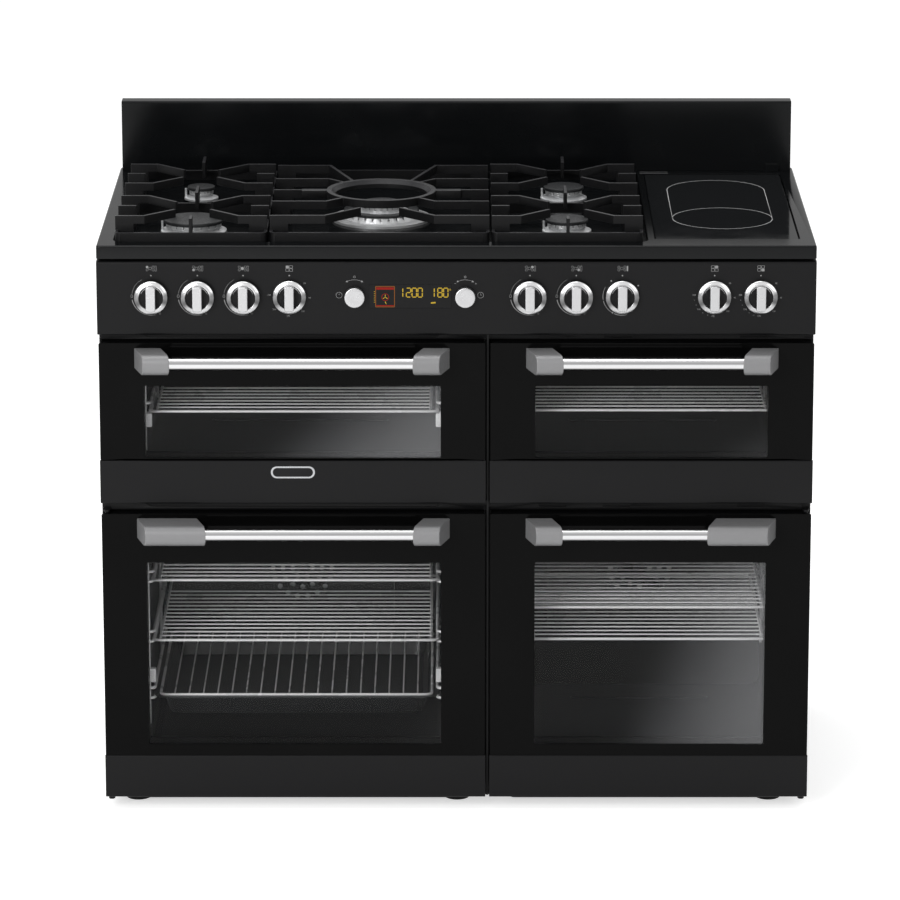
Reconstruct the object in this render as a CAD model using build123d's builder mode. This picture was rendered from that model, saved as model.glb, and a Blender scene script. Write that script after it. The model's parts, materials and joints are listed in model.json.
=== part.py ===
from build123d import *
from collections import namedtuple
import math
import os

os.makedirs("parts", exist_ok=True)

# The cooker faces -Y. X runs to the right seen from the front and Z is up.
# Millimetres, with the origin on the floor below the middle of the whole cooker.

# Overall width and depth
cooker_width = 1100
body_depth = 600
handle_reach = 55
front_y = (handle_reach - body_depth) / 2
back_y = (handle_reach + body_depth) / 2

# Heights of the front, from the floor up
floor_gap = 21
lower_trim_height = 68.5
lower_glass_height = 391.5
middle_gap = 17
upper_trim_height = 68.5
upper_glass_height = 186
panel_gap = 12.5
panel_height = 115.5
hob_gap = 4
hob_skirt = 20.5
lower_door_top = floor_gap + lower_trim_height + lower_glass_height
upper_door_bottom = lower_door_top + middle_gap
upper_door_top = upper_door_bottom + upper_trim_height + upper_glass_height
panel_bottom = upper_door_top + panel_gap
panel_top = panel_bottom + panel_height
hob_bottom = panel_top + hob_gap
hob_top_z = hob_bottom + hob_skirt

# Widths of the two door columns
side_inset = 1.4
left_door_width = 593
column_gap = 7.8
right_door_width = cooker_width - side_inset * 2 - column_gap - left_door_width
left_door_x = side_inset - cooker_width / 2
right_door_x = left_door_x + left_door_width + column_gap

# Sheet, glass and working clearances
sheet = 2
glass_thickness = 4
seat_gap = 0.3
running_gap = 0.1
overrun = 5

# Door build-up
door_depth = 38
door_seal_gap = 4
trim_proud = 0.8
trim_side_proud = 0.9
trim_lip = 5
trim_edge_radius = 2.5
liner_inset = 2
window_collar = 6
pane_overlap = 15
hinge_in = 8
hinge_back = 10
hinge_pin_radius = 3
hinge_boss = 18
hinge_pin_length = 14
hinge_ear = 3
hinge_notch = 8
hinge_notch_reach = 7
hinge_arm_radius = 5
frame_y = front_y + door_depth + door_seal_gap
frame_back = frame_y + sheet

# Door handles
handle_block_height = 32
handle_block_skew = 16
handle_block_reach = 52
handle_block_width = 41
handle_wide_block = 93
handle_end_inset = 54.5
handle_nose_radius = 7
handle_tube_radius = 8
handle_tube_reach = handle_reach - handle_tube_radius
handle_tube_sink = 14
upper_handle_drop = 23.5
lower_handle_drop = 22.5

# Oven cavities
cavity_wall = 1.6
cavity_corner = 14
cavity_back = 195
seal_width = 8
upper_cavity_floor = 530
upper_cavity_height = 208
lower_cavity_floor = 60
lower_cavity_height = 380
left_cavity_width = 466
right_cavity_width = 400
left_window_width = 456
right_window_width = 358
upper_window_low = 571
upper_window_high = 685
lower_window_low = 108
lower_window_high = 403

# Wire shelves and their side ladders
wire_sides = 6
shelf_bar = 6
shelf_wire = 3.6
shelf_side_inset = 11
shelf_inner_inset = 19
shelf_front = 20
shelf_rear = 150
shelf_wire_count = 15
ladder_wire = 5
ladder_front = 26
ladder_rear = 30
ladder_guard_rise = 16
ladder_foot = 24
ladder_catch_width = 9
ladder_catch_depth = 12
ladder_catch_height = 22
upper_catch_z = 614
lower_catch_z = 200

# Roasting tray with its grid
tray_depth = 32
tray_wall = 1.5
tray_flange = 16
tray_taper = 8
tray_corner = 24
tray_grid_wire = 3
tray_grid_count = 21

# Fan, fan cover and heating elements
fan_height = 270
fan_radius = 68
fan_hub_radius = 15
fan_blade_count = 8
fan_blade_width = 20
fan_blade_sheet = 1.2
fan_shaft_radius = 4
fan_shaft_length = 40
fan_bush_radius = 16
fan_bush_length = 20
fan_front_gap = 6
cover_width = 300
cover_height = 250
cover_depth = 35
cover_corner = 20
cover_hole_radius = 4.6
cover_ring_step = 16
cover_ring_count = 3
element_radius = 3.4
ring_element_radius = 88
grill_drop = 22
grill_half_width = 165
grill_front = 120
grill_rear_bend = 60
grill_bend_radius = 24

# Control panel and what it carries
panel_depth = door_depth + door_seal_gap
panel_edge_radius = 4
knob_height = 61
bush_radius = 8
bush_length = 8
stem_radius = 4
gas_hole_radius = 6.5
display_width = 126.4
display_height = 36.8
display_centre_x = -70.4
display_back = 24
display_flange = 5

# Knobs
knob_radius = 26
knob_dish_radius = 18.5
knob_ring_depth = 10
knob_dish_depth = 4
knob_edge_radius = 2.5
grip_width = 14.5
grip_length = 39
grip_rise = 11
grip_edge_radius = 1.8
gas_knob_gap = 4
rotary_knob_gap = 0.8
gas_stem_grip = 8
gas_stem_length = 44
gas_push = 3.5
timer_knob_radius = 15.5
timer_knob_depth = 12
timer_knob_edge = 1.5
knob_shaft_length = 14
gas_knob_places = {
    "rear_left": -466.4, "front_left": -395.5, "wok": -325.7, "rear_right": 112.3, "front_right": 183.1}
rotary_knob_places = {
    "grill_oven": -255.2, "ceramic_zone": 253.5, "upper_right_oven": 394.3, "lower_right_oven": 465.0}
timer_knob_places = {"left": -155.7, "right": 13.4}

# Hob pressing and ceramic plate
hob_corner = 5
hob_edge_radius = 3
rim_side = 24
rim_front = 29
rim_back = 38
well_depth = 12
well_floor = 4
well_corner = 16
underside_wall = 3
gas_well_right = 294
ceramic_width = 222.5
ceramic_length = 496
ceramic_centre_x = 415.75
ceramic_front_inset = 49
ceramic_ledge = 12
ceramic_drop = 1
ceramic_corner = 5
spill_ridge = 7
spill_rise = 2

# Splashback
splash_height = 115
splash_depth = 30
splash_inset = 5
splash_edge_radius = 3
bracket_width = 20
bracket_height = 12
bracket_proud = 6

# Burners, from the hob's well floor up
Burner = namedtuple("Burner", "name x y cap_radius")
burner_column_left = -407
burner_column_wok = -118
burner_column_right = 171
burner_row_front = -139.5
burner_row_rear = 107.5
burner_row_wok = -20.5
simmer_cap_radius = 22
rapid_cap_radius = 46
middle_cap_radius = 32
large_cap_radius = 33
cap_overhang = 3
burners = [
    Burner("rear_left", burner_column_left, burner_row_rear, simmer_cap_radius),
    Burner("front_left", burner_column_left, burner_row_front, rapid_cap_radius),
    Burner("rear_right", burner_column_right, burner_row_rear, middle_cap_radius),
    Burner("front_right", burner_column_right, burner_row_front, large_cap_radius)]
burner_skirt = 8
burner_skirt_height = 3
burner_body_height = 16
burner_waist = 4
port_count = 20
port_width = 2.4
port_depth = 5
crown_band = 7
cap_thickness = 5
cap_edge_radius = 1.6
cap_hollow = 2
burner_spigot = 9
spigot_length = 14
spark_radius = 2
spark_height = 17
spark_clearance = 5.5
wok_dish_radius = 78
wok_dish_height = 4
wok_body_radius = 55
wok_body_height = 9
wok_crown_radius = 31.5
wok_crown_height = 24
wok_outer_ring = 10
wok_port_count = 28
wok_cap_thickness = 4

# Cast iron pan supports
support_top = 940
support_bar = 5
support_frame_height = 16
support_frame_clear = 9
support_corner = 10
finger_height = 13
finger_offset = 75
finger_level = 44
finger_tip = 27.5
finger_leg = 28
finger_front_leg = 24
support_gap = 3.6
support_front = -238.5
support_rear = 243
left_support_x = -523.5
left_support_width = 233.5
centre_support_width = 337
right_support_width = 232
centre_finger_level = 84
wok_near_offset = 86
wok_far_offset = 192
wok_ring_radius = 86
wok_ring_width = 14
wok_ring_height = 12
wok_lug_width = 15
wok_tip_x = 31
wok_tip_y = 134
support_foot = 12

# Chassis and casing
base_low = 16
base_wall = 24
base_setback = 45
back_inset = 24
post_width = 30
rail_setback = 22
rail_clear = 1.2
vent_depth = 3
vent_height = 5
vent_slant = 8
vent_margin = 68
pair_vent_width = 43
pair_vent_shares = [0.085, 0.185, 0.395, 0.495]
pillar_width = 2.8
pillar_setback = 10
side_top_rail = 22
back_vent_length = 60
back_vent_height = 5
back_vent_columns = 4
back_vent_rows = 6
back_vent_pitch_x = 110
back_vent_pitch_z = 18
back_vent_centre_z = 660
terminal_width = 110
terminal_height = 80
terminal_depth = 18
terminal_x = 380
terminal_z = 160
gland_radius = 10
gland_boss = 16
wall_hole_radius = 4
wall_hole_span = 900
wall_hole_z = 800

# Feet
foot_radius = 19
foot_pad = 8
foot_bevel = 2
foot_stem_radius = 5
foot_columns = [-502, 1, 492]
foot_front_y = -205
foot_rear_y = 275

# Gas rail and its inlet
gas_rail_radius = 9
gas_rail_back = 60
gas_rail_end = 20
tap_width = 24
tap_depth = 30
tap_height = 34
inlet_radius = 10.48
inlet_length = 15
inlet_x = 500
inlet_drop = 40

Oven = namedtuple(
    "Oven", "name door_x door_width x width floor height window low high levels catch upper left")
left_oven_x = left_door_x + left_door_width / 2
right_oven_x = right_door_x + right_door_width / 2
left_column = (left_door_x, left_door_width, left_oven_x, left_cavity_width)
right_column = (right_door_x, right_door_width, right_oven_x, right_cavity_width)
upper_left_levels = [630]
upper_right_levels = [632]
lower_left_levels = [260, 358]
lower_right_levels = [262, 314]
tray_level = 166
ovens = [
    Oven("upper_left", *left_column, upper_cavity_floor, upper_cavity_height, left_window_width,
         upper_window_low, upper_window_high, upper_left_levels, upper_catch_z, True, True),
    Oven("upper_right", *right_column, upper_cavity_floor, upper_cavity_height, right_window_width,
         upper_window_low, upper_window_high, upper_right_levels, upper_catch_z, True, False),
    Oven("lower_left", *left_column, lower_cavity_floor, lower_cavity_height, left_window_width,
         lower_window_low, lower_window_high, lower_left_levels, lower_catch_z, False, True),
    Oven("lower_right", *right_column, lower_cavity_floor, lower_cavity_height, right_window_width,
         lower_window_low, lower_window_high, lower_right_levels, lower_catch_z, False, False)]


def block(x0, x1, y0, y1, z0, z1, mode=Mode.ADD):
    """Add or cut a straight-sided block given by its limits along X, Y and Z."""
    with BuildSketch(Plane.XY.offset(z0)) as outline:
        with Locations(((x0 + x1) / 2, (y0 + y1) / 2)):
            Rectangle(x1 - x0, y1 - y0)
    extrude(outline.sketch, amount=z1 - z0, mode=mode)


def upright(x0, x1, z0, z1, radius, y0, y1, mode=Mode.ADD):
    """Add or cut an upright block with rounded corners, seen from the front."""
    with BuildSketch(Plane.XZ.offset(-y1)) as outline:
        with Locations(((x0 + x1) / 2, (z0 + z1) / 2)):
            RectangleRounded(x1 - x0, z1 - z0, radius)
    extrude(outline.sketch, amount=y1 - y0, mode=mode)


def wires(plane, places, diameter, length):
    """Add parallel drawn wires that start on a plane at places in it."""
    with BuildSketch(plane) as sections:
        with Locations(*places):
            RegularPolygon(diameter / 2, wire_sides, major_radius=False)
    extrude(sections.sketch, amount=length)


def rod(plane, x, y, radius, length, mode=Mode.ADD):
    """Add or cut a round rod that stands on a plane at a place in it."""
    with BuildSketch(plane) as section:
        with Locations((x, y)):
            Circle(radius)
    extrude(section.sketch, amount=length, mode=mode)


def save(part, name):
    """Label a finished piece and write it to its own file."""
    part.label = name
    export_step(part, f"parts/{name}.step")


# Levelling feet: a bevelled pad on a threaded stem under the base pan
with BuildPart() as levelling_feet:
    foot_places = [(x, y) for x in foot_columns for y in (foot_front_y, foot_rear_y)]
    with BuildSketch():
        with Locations(*foot_places):
            Circle(foot_radius)
    extrude(amount=foot_pad)
    chamfer(levelling_feet.edges().group_by(Axis.Z)[-1], foot_bevel)
    with BuildSketch(Plane.XY.offset(foot_pad)):
        with Locations(*foot_places):
            Circle(foot_stem_radius)
    extrude(amount=base_low - foot_pad)
save(levelling_feet.part, "levelling_feet")

# Chassis: base pan, front frame with its vent rails, divider, posts and hinge brackets
frame_half = cooker_width / 2 - sheet
chassis_back = back_y - back_inset
frame_top = panel_bottom - rail_clear
pillar_x = left_door_x + left_door_width + column_gap / 2
lower_hinge_y = front_y + hinge_back
rails = [(lower_door_top, upper_door_bottom), (upper_door_top, panel_bottom)]
with BuildPart() as chassis:
    # front frame plate with an opening for each oven
    block(-frame_half, frame_half, frame_y, frame_back, floor_gap, frame_top)
    for oven in ovens:
        upright(oven.x - oven.width / 2, oven.x + oven.width / 2, oven.floor, oven.floor + oven.height,
                cavity_corner, frame_y - overrun, frame_back + overrun, Mode.SUBTRACT)
    # rails in the gaps between the doors
    for rail_low, rail_high in rails:
        block(-frame_half, frame_half, front_y + rail_setback, frame_y,
              rail_low + rail_clear, rail_high - rail_clear)
        # one long slanted vent over the left oven
        vent_low = (rail_low + rail_high - vent_height) / 2
        vent_left = left_door_x + vent_margin
        vent_right = left_door_x + left_door_width - vent_margin
        with BuildSketch(Plane.XZ.offset(-front_y - rail_setback)) as long_vent:
            with BuildLine():
                Polyline((vent_left, vent_low + vent_height), (vent_left + vent_slant, vent_low),
                         (vent_right - vent_slant, vent_low), (vent_right, vent_low + vent_height),
                         close=True)
            make_face()
        extrude(long_vent.sketch, amount=-vent_depth, mode=Mode.SUBTRACT)
        # two pairs of short vents over the right oven
        for share in pair_vent_shares:
            pair_x = right_door_x + vent_margin / 2 + right_door_width * share * 2
            block(pair_x - pair_vent_width, pair_x, front_y + rail_setback,
                  front_y + rail_setback + vent_depth, vent_low, vent_low + vent_height, Mode.SUBTRACT)
    # pillar strip between the two door columns
    block(pillar_x - pillar_width / 2, pillar_x + pillar_width / 2, front_y + pillar_setback, frame_y,
          floor_gap, frame_top)
    # base pan with upstands
    block(-frame_half, frame_half, front_y + base_setback, chassis_back, base_low, base_low + base_wall)
    block(sheet - frame_half, frame_half - sheet, front_y + base_setback + sheet, chassis_back - sheet,
          base_low + sheet, base_low + base_wall + overrun, Mode.SUBTRACT)
    # divider between the left and right ovens, a separate sheet that stands in the base pan
    block(pillar_x - sheet / 2, pillar_x + sheet / 2, front_y + base_setback + sheet + seat_gap,
          chassis_back - sheet - seat_gap, base_low + sheet + seat_gap, frame_top)
    # angle posts that stand on the base pan's rear corners
    post_low = base_low + base_wall + seat_gap
    for side in (-1, 1):
        outer = side * frame_half
        inner = side * (frame_half - post_width)
        skin = side * (frame_half - sheet)
        block(min(outer, inner), max(outer, inner), chassis_back - sheet, chassis_back, post_low, hob_bottom)
        block(min(outer, skin), max(outer, skin), chassis_back - post_width, chassis_back,
              post_low, hob_bottom)
        # rail under the side edge of the hob, between the front and rear posts
        block(min(outer, skin), max(outer, skin), frame_y + post_width + seat_gap,
              chassis_back - post_width - seat_gap, hob_bottom - side_top_rail, hob_bottom)
        block(min(outer, skin), max(outer, skin), frame_y, frame_y + post_width,
              floor_gap, hob_bottom)
        # pivot plates and pins of the lower, side-hung doors
        hinge_x = side * (cooker_width / 2 - side_inset - hinge_in)
        for plate_z, pin_z in ((lower_door_top + sheet, lower_door_top - hinge_pin_length),
                               (base_low, base_low + sheet)):
            block(hinge_x - hinge_arm_radius, hinge_x + hinge_arm_radius, lower_hinge_y,
                  frame_y, plate_z, plate_z + hinge_ear)
            rod(Plane.XY.offset(plate_z), hinge_x, lower_hinge_y, hinge_arm_radius, hinge_ear)
            pin_top = max(plate_z, pin_z + hinge_pin_length + sheet)
            rod(Plane.XY.offset(min(pin_z, plate_z)), hinge_x, lower_hinge_y, hinge_pin_radius,
                pin_top - min(pin_z, plate_z))
        block(hinge_x - hinge_arm_radius, hinge_x + hinge_arm_radius, frame_y, frame_back,
              base_low, floor_gap)
    # ears and pins of the upper, drop-down doors
    upper_hinge_z = upper_door_bottom + hinge_in
    for oven in ovens:
        if not oven.upper:
            continue
        for edge_x, inward in ((oven.door_x, 1), (oven.door_x + oven.door_width, -1)):
            ear_near = edge_x + inward * (hinge_notch - hinge_ear) / 2
            ear_far = ear_near + inward * hinge_ear
            block(min(ear_near, ear_far), max(ear_near, ear_far), lower_hinge_y, frame_y,
                  upper_hinge_z - hinge_arm_radius, upper_hinge_z + hinge_arm_radius)
            ear_plane = Plane.YZ.offset(ear_near) if inward > 0 else Plane.YZ.offset(ear_far)
            rod(ear_plane, lower_hinge_y, upper_hinge_z, hinge_arm_radius, hinge_ear)
            pin_end = edge_x + inward * (hinge_notch + hinge_pin_length)
            pin_low = min(ear_near, pin_end)
            rod(Plane.YZ.offset(pin_low), lower_hinge_y, upper_hinge_z, hinge_pin_radius,
                abs(pin_end - ear_near))
save(chassis.part, "chassis")

# Outer casing: two side panels, and between them the back panel with its vents and terminal cover
with BuildPart() as outer_casing:
    casing_low = floor_gap
    casing_top = hob_bottom
    for side in (-1, 1):
        outer = side * cooker_width / 2
        skin = side * (cooker_width / 2 - sheet)
        block(min(outer, skin), max(outer, skin), frame_y, chassis_back + sheet, casing_low, casing_top)
    block(seat_gap - frame_half, frame_half - seat_gap, chassis_back, chassis_back + sheet,
          casing_low, casing_top)
    back_face = Plane.XZ.offset(-chassis_back - sheet)
    with BuildSketch(back_face) as vents:
        with Locations((0, back_vent_centre_z)):
            with GridLocations(back_vent_pitch_x, back_vent_pitch_z, back_vent_columns, back_vent_rows):
                SlotOverall(back_vent_length, back_vent_height)
    extrude(vents.sketch, amount=sheet, mode=Mode.SUBTRACT)
    with BuildSketch(back_face) as wall_holes:
        with Locations((0, wall_hole_z)):
            with GridLocations(wall_hole_span, 0, 2, 1):
                Circle(wall_hole_radius)
    extrude(wall_holes.sketch, amount=sheet, mode=Mode.SUBTRACT)
    # opening for the gas inlet
    rod(back_face, inlet_x, panel_bottom - inlet_drop, inlet_radius + overrun, sheet, Mode.SUBTRACT)
    # terminal cover with a downward cable gland
    upright(terminal_x - terminal_width / 2, terminal_x + terminal_width / 2,
            terminal_z - terminal_height / 2, terminal_z + terminal_height / 2,
            overrun, chassis_back + sheet, chassis_back + sheet + terminal_depth)
    gland_z = terminal_z - terminal_height / 2
    gland_y = chassis_back + sheet + terminal_depth / 2
    rod(Plane.XY.offset(gland_z - gland_boss), terminal_x, gland_y, terminal_depth / 2, gland_boss)
    rod(Plane.XY.offset(gland_z - gland_boss), terminal_x, gland_y, gland_radius / 2,
        gland_boss * 2, Mode.SUBTRACT)
save(outer_casing.part, "outer_casing")

# Control panel: a folded channel with collars for the knob shafts
knob_z = panel_bottom + knob_height
display_left = display_centre_x - display_width / 2
display_right = display_centre_x + display_width / 2
display_low = knob_z - display_height / 2
display_high = knob_z + display_height / 2
front_face = Plane.XZ.offset(-front_y)
collar_face = Plane.XZ.offset(-front_y - sheet)
with BuildPart() as control_panel:
    block(-cooker_width / 2, cooker_width / 2, front_y, front_y + panel_depth, panel_bottom, panel_top)
    front_edges = control_panel.faces().sort_by(Axis.Y)[0].edges().filter_by(Axis.X)
    fillet(front_edges, panel_edge_radius)
    back_opening = control_panel.faces().sort_by(Axis.Y)[-1]
    offset(amount=-sheet, openings=back_opening)
    for collar_x in [*rotary_knob_places.values(), *timer_knob_places.values()]:
        rod(collar_face, collar_x, knob_z, bush_radius, -bush_length)
        rod(front_face, collar_x, knob_z, stem_radius + running_gap, -bush_length - sheet, Mode.SUBTRACT)
    for hole_x in gas_knob_places.values():
        rod(front_face, hole_x, knob_z, gas_hole_radius, -sheet, Mode.SUBTRACT)
    block(display_left - running_gap, display_right + running_gap, front_y, front_y + sheet,
          display_low - running_gap, display_high + running_gap, Mode.SUBTRACT)
save(control_panel.part, "control_panel")

# Display module: a dark window in the panel on a flanged housing behind it
with BuildPart() as display_module:
    block(display_left, display_right, front_y, front_y + sheet, display_low, display_high)
    block(display_left - display_flange, display_right + display_flange, front_y + sheet,
          front_y + sheet + display_back, display_low - display_flange, display_high + display_flange)
save(display_module.part, "display_module")

# Hob top: a pressed tray with a raised rim, a gas well and a seat for the ceramic plate
well_z = hob_top_z - well_depth
well_left = rim_side - cooker_width / 2
ceramic_low_y = front_y + ceramic_front_inset
ceramic_high_y = ceramic_low_y + ceramic_length
ceramic_z = hob_top_z - ceramic_drop - glass_thickness
with BuildPart() as hob_top:
    with BuildSketch(Plane.XY.offset(hob_bottom)):
        with Locations((0, (front_y + back_y) / 2)):
            RectangleRounded(cooker_width, body_depth, hob_corner)
    extrude(amount=hob_skirt)
    rim_edges = hob_top.faces().sort_by(Axis.Z)[-1].edges()
    fillet(rim_edges, hob_edge_radius)
    well_rear = back_y - rim_back
    well_front = front_y + rim_front
    with BuildSketch(Plane.XY.offset(well_z)) as gas_well:
        with Locations(((well_left + gas_well_right) / 2, (well_front + well_rear) / 2)):
            RectangleRounded(gas_well_right - well_left, well_rear - well_front, well_corner)
    extrude(gas_well.sketch, amount=well_depth, mode=Mode.SUBTRACT)
    # hollow underside inside the skirt
    block(underside_wall - cooker_width / 2, cooker_width / 2 - underside_wall, front_y + underside_wall,
          back_y - underside_wall, hob_bottom, well_z - well_floor, Mode.SUBTRACT)
    # seat and opening of the ceramic plate
    with BuildSketch(Plane.XY.offset(ceramic_z)) as ceramic_seat:
        with Locations((ceramic_centre_x, (ceramic_low_y + ceramic_high_y) / 2)):
            RectangleRounded(ceramic_width + seat_gap * 2, ceramic_length + seat_gap * 2, ceramic_corner)
    extrude(ceramic_seat.sketch, amount=well_depth, mode=Mode.SUBTRACT)
    block(ceramic_centre_x - ceramic_width / 2 + ceramic_ledge,
          ceramic_centre_x + ceramic_width / 2 - ceramic_ledge, ceramic_low_y + ceramic_ledge,
          ceramic_high_y - ceramic_ledge, hob_bottom, hob_top_z, Mode.SUBTRACT)
    # pressed ridge round each burner and the hole for its spigot
    for burner in burners:
        skirt_radius = burner.cap_radius - cap_overhang + burner_skirt
        rod(Plane.XY.offset(well_z), burner.x, burner.y, skirt_radius + spill_ridge, spill_rise)
        rod(Plane.XY.offset(well_z), burner.x, burner.y, skirt_radius + running_gap,
            spill_rise, Mode.SUBTRACT)
        rod(Plane.XY.offset(well_z - well_floor), burner.x, burner.y, burner_spigot + running_gap,
            well_floor, Mode.SUBTRACT)
    rod(Plane.XY.offset(well_z - well_floor), burner_column_wok, burner_row_wok,
        burner_spigot + running_gap, well_floor, Mode.SUBTRACT)
save(hob_top.part, "hob_top")

# Ceramic plate: glass with a ground bevel, lying on the hob's ledge
with BuildPart() as ceramic_plate:
    with BuildSketch(Plane.XY.offset(ceramic_z)):
        with Locations((ceramic_centre_x, (ceramic_low_y + ceramic_high_y) / 2)):
            RectangleRounded(ceramic_width, ceramic_length, ceramic_corner)
    extrude(amount=glass_thickness)
    chamfer(ceramic_plate.faces().sort_by(Axis.Z)[-1].edges(), ceramic_drop)
save(ceramic_plate.part, "ceramic_plate")

# Splashback: a folded sheet open at the back, with a small end bracket
splash_half = cooker_width / 2 - splash_inset
splash_front = back_y - splash_depth
splash_top = hob_top_z + splash_height
with BuildPart() as splashback:
    block(-splash_half, splash_half, splash_front, back_y, hob_top_z, splash_top)
    top_front_edge = splashback.faces().sort_by(Axis.Z)[-1].edges().filter_by(Axis.X).sort_by(Axis.Y)[0]
    fillet(top_front_edge, splash_edge_radius)
    block(sheet - splash_half, splash_half - sheet, splash_front + sheet, back_y, hob_top_z,
          splash_top - sheet, Mode.SUBTRACT)
    bracket_x = splash_half - bracket_width * 2
    block(bracket_x, bracket_x + bracket_width, splash_front - bracket_proud, splash_front,
          hob_top_z, hob_top_z + bracket_height)
save(splashback.part, "splashback")

# Burner heads: turned bodies with slotted crowns, and the wok burner's stepped body
with BuildPart() as burner_heads:
    for burner in burners:
        crown_z = well_z + burner_body_height
        crown_x = burner.x + burner.cap_radius - cap_overhang
        with BuildSketch(Plane.XZ.offset(-burner.y)) as profile:
            with BuildLine():
                Polyline((burner.x, well_z), (crown_x + burner_skirt, well_z),
                         (crown_x + burner_skirt, well_z + burner_skirt_height),
                         (crown_x - burner_waist, well_z + burner_skirt_height + burner_waist),
                         (crown_x, crown_z - crown_band), (crown_x, crown_z),
                         (burner.x, crown_z), close=True)
            make_face()
        revolve(profile.sketch, Axis((burner.x, burner.y, 0), (0, 0, 1)))
        # flame ports cut through the crown
        with BuildSketch(Plane.XY.offset(crown_z - port_depth)) as ports:
            with Locations((burner.x, burner.y)):
                with PolarLocations(burner.cap_radius - cap_overhang, port_count):
                    Rectangle(burner_waist * 2, port_width)
        extrude(ports.sketch, amount=port_depth, mode=Mode.SUBTRACT)
        rod(Plane.XY.offset(well_z - spigot_length), burner.x, burner.y, burner_spigot, spigot_length)
        # spark electrode standing beside the crown
        rod(Plane.XY.offset(well_z + burner_skirt_height), burner.x * 2 - crown_x - spark_clearance,
            burner.y, spark_radius, spark_height - burner_skirt_height)
    wok_crown_z = well_z + wok_crown_height
    wok_ring_z = well_z + wok_dish_height + wok_body_height
    with BuildSketch(Plane.XZ.offset(-burner_row_wok)) as wok_profile:
        with BuildLine():
            Polyline((burner_column_wok, well_z), (burner_column_wok + wok_dish_radius, well_z),
                     (burner_column_wok + wok_dish_radius, well_z + wok_dish_height),
                     (burner_column_wok + wok_body_radius + burner_waist, well_z + wok_dish_height),
                     (burner_column_wok + wok_body_radius, wok_ring_z),
                     (burner_column_wok + wok_body_radius - wok_outer_ring, wok_ring_z),
                     (burner_column_wok + wok_crown_radius + burner_waist, well_z + wok_dish_height),
                     (burner_column_wok + wok_crown_radius, well_z + wok_dish_height + burner_waist),
                     (burner_column_wok + wok_crown_radius, wok_crown_z),
                     (burner_column_wok, wok_crown_z), close=True)
        make_face()
    revolve(wok_profile.sketch, Axis((burner_column_wok, burner_row_wok, 0), (0, 0, 1)))
    for port_z, port_radius, count in ((wok_crown_z, wok_crown_radius, port_count),
                                       (wok_ring_z, wok_body_radius, wok_port_count)):
        with BuildSketch(Plane.XY.offset(port_z - port_depth)) as wok_ports:
            with Locations((burner_column_wok, burner_row_wok)):
                with PolarLocations(port_radius, count):
                    Rectangle(burner_waist * 2, port_width)
        extrude(wok_ports.sketch, amount=port_depth, mode=Mode.SUBTRACT)
    rod(Plane.XY.offset(well_z - spigot_length), burner_column_wok, burner_row_wok,
        burner_spigot, spigot_length)
save(burner_heads.part, "burner_heads")

# Burner caps: enamelled discs with a rounded edge, and the wok burner's ring and centre caps
with BuildPart() as burner_caps:
    for burner in burners:
        cap_z = well_z + burner_body_height
        rod(Plane.XY.offset(cap_z), burner.x, burner.y, burner.cap_radius, cap_thickness)
    rod(Plane.XY.offset(wok_crown_z), burner_column_wok, burner_row_wok, wok_crown_radius, wok_cap_thickness)
    with BuildSketch(Plane.XY.offset(wok_ring_z)) as wok_ring_cap:
        with Locations((burner_column_wok, burner_row_wok)):
            Circle(wok_body_radius + burner_waist)
            Circle(wok_body_radius - wok_outer_ring, mode=Mode.SUBTRACT)
    extrude(wok_ring_cap.sketch, amount=wok_cap_thickness)
    top_rims = [cap.faces().sort_by(Axis.Z)[-1].outer_wire().edges() for cap in burner_caps.solids()]
    fillet([edge for rim in top_rims for edge in rim], cap_edge_radius)
save(burner_caps.part, "burner_caps")


def support_frame(left, width):
    """Add a pan support's rectangular frame with its four feet."""
    frame_low = well_z + support_frame_clear
    with BuildSketch(Plane.XY.offset(frame_low)) as frame_outline:
        with Locations((left + width / 2, (support_front + support_rear) / 2)):
            RectangleRounded(width, support_rear - support_front, support_corner)
            RectangleRounded(width - support_bar * 2, support_rear - support_front - support_bar * 2,
                             support_corner - support_bar, mode=Mode.SUBTRACT)
    extrude(frame_outline.sketch, amount=support_frame_height)
    for foot_x in (left + support_corner, left + width - support_corner - support_foot):
        for foot_y in (support_front, support_rear - support_bar):
            block(foot_x, foot_x + support_foot, foot_y, foot_y + support_bar, well_z + seat_gap, frame_low)


def finger(points, leg_point):
    """Add a pan finger along a bent path, with the leg that joins it to the frame."""
    with BuildSketch(Plane.XY.offset(support_top - finger_height)) as bar:
        with BuildLine() as path:
            Polyline(*points)
        trace(path.line, support_bar)
    extrude(bar.sketch, amount=finger_height)
    with BuildSketch(Plane.XY.offset(well_z + support_frame_clear)) as leg:
        with BuildLine() as leg_path:
            Line(points[0], leg_point)
        trace(leg_path.line, support_bar)
    extrude(leg.sketch, amount=support_top - well_z - support_frame_clear)


def end_fingers(x, middle_y):
    """Add the short fingers that stand on the front and rear bars and on the middle bar."""
    for edge_y, inner_y in ((support_front, support_front + finger_front_leg),
                            (support_rear - finger_front_leg * 2, support_rear)):
        block(x - support_bar / 2, x + support_bar / 2, edge_y, inner_y,
              support_top - finger_height * 2, support_top)
    if middle_y is not None:
        block(x - support_bar / 2, x + support_bar / 2, middle_y - finger_leg, middle_y + finger_leg,
              support_top - finger_height * 2, support_top)


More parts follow.
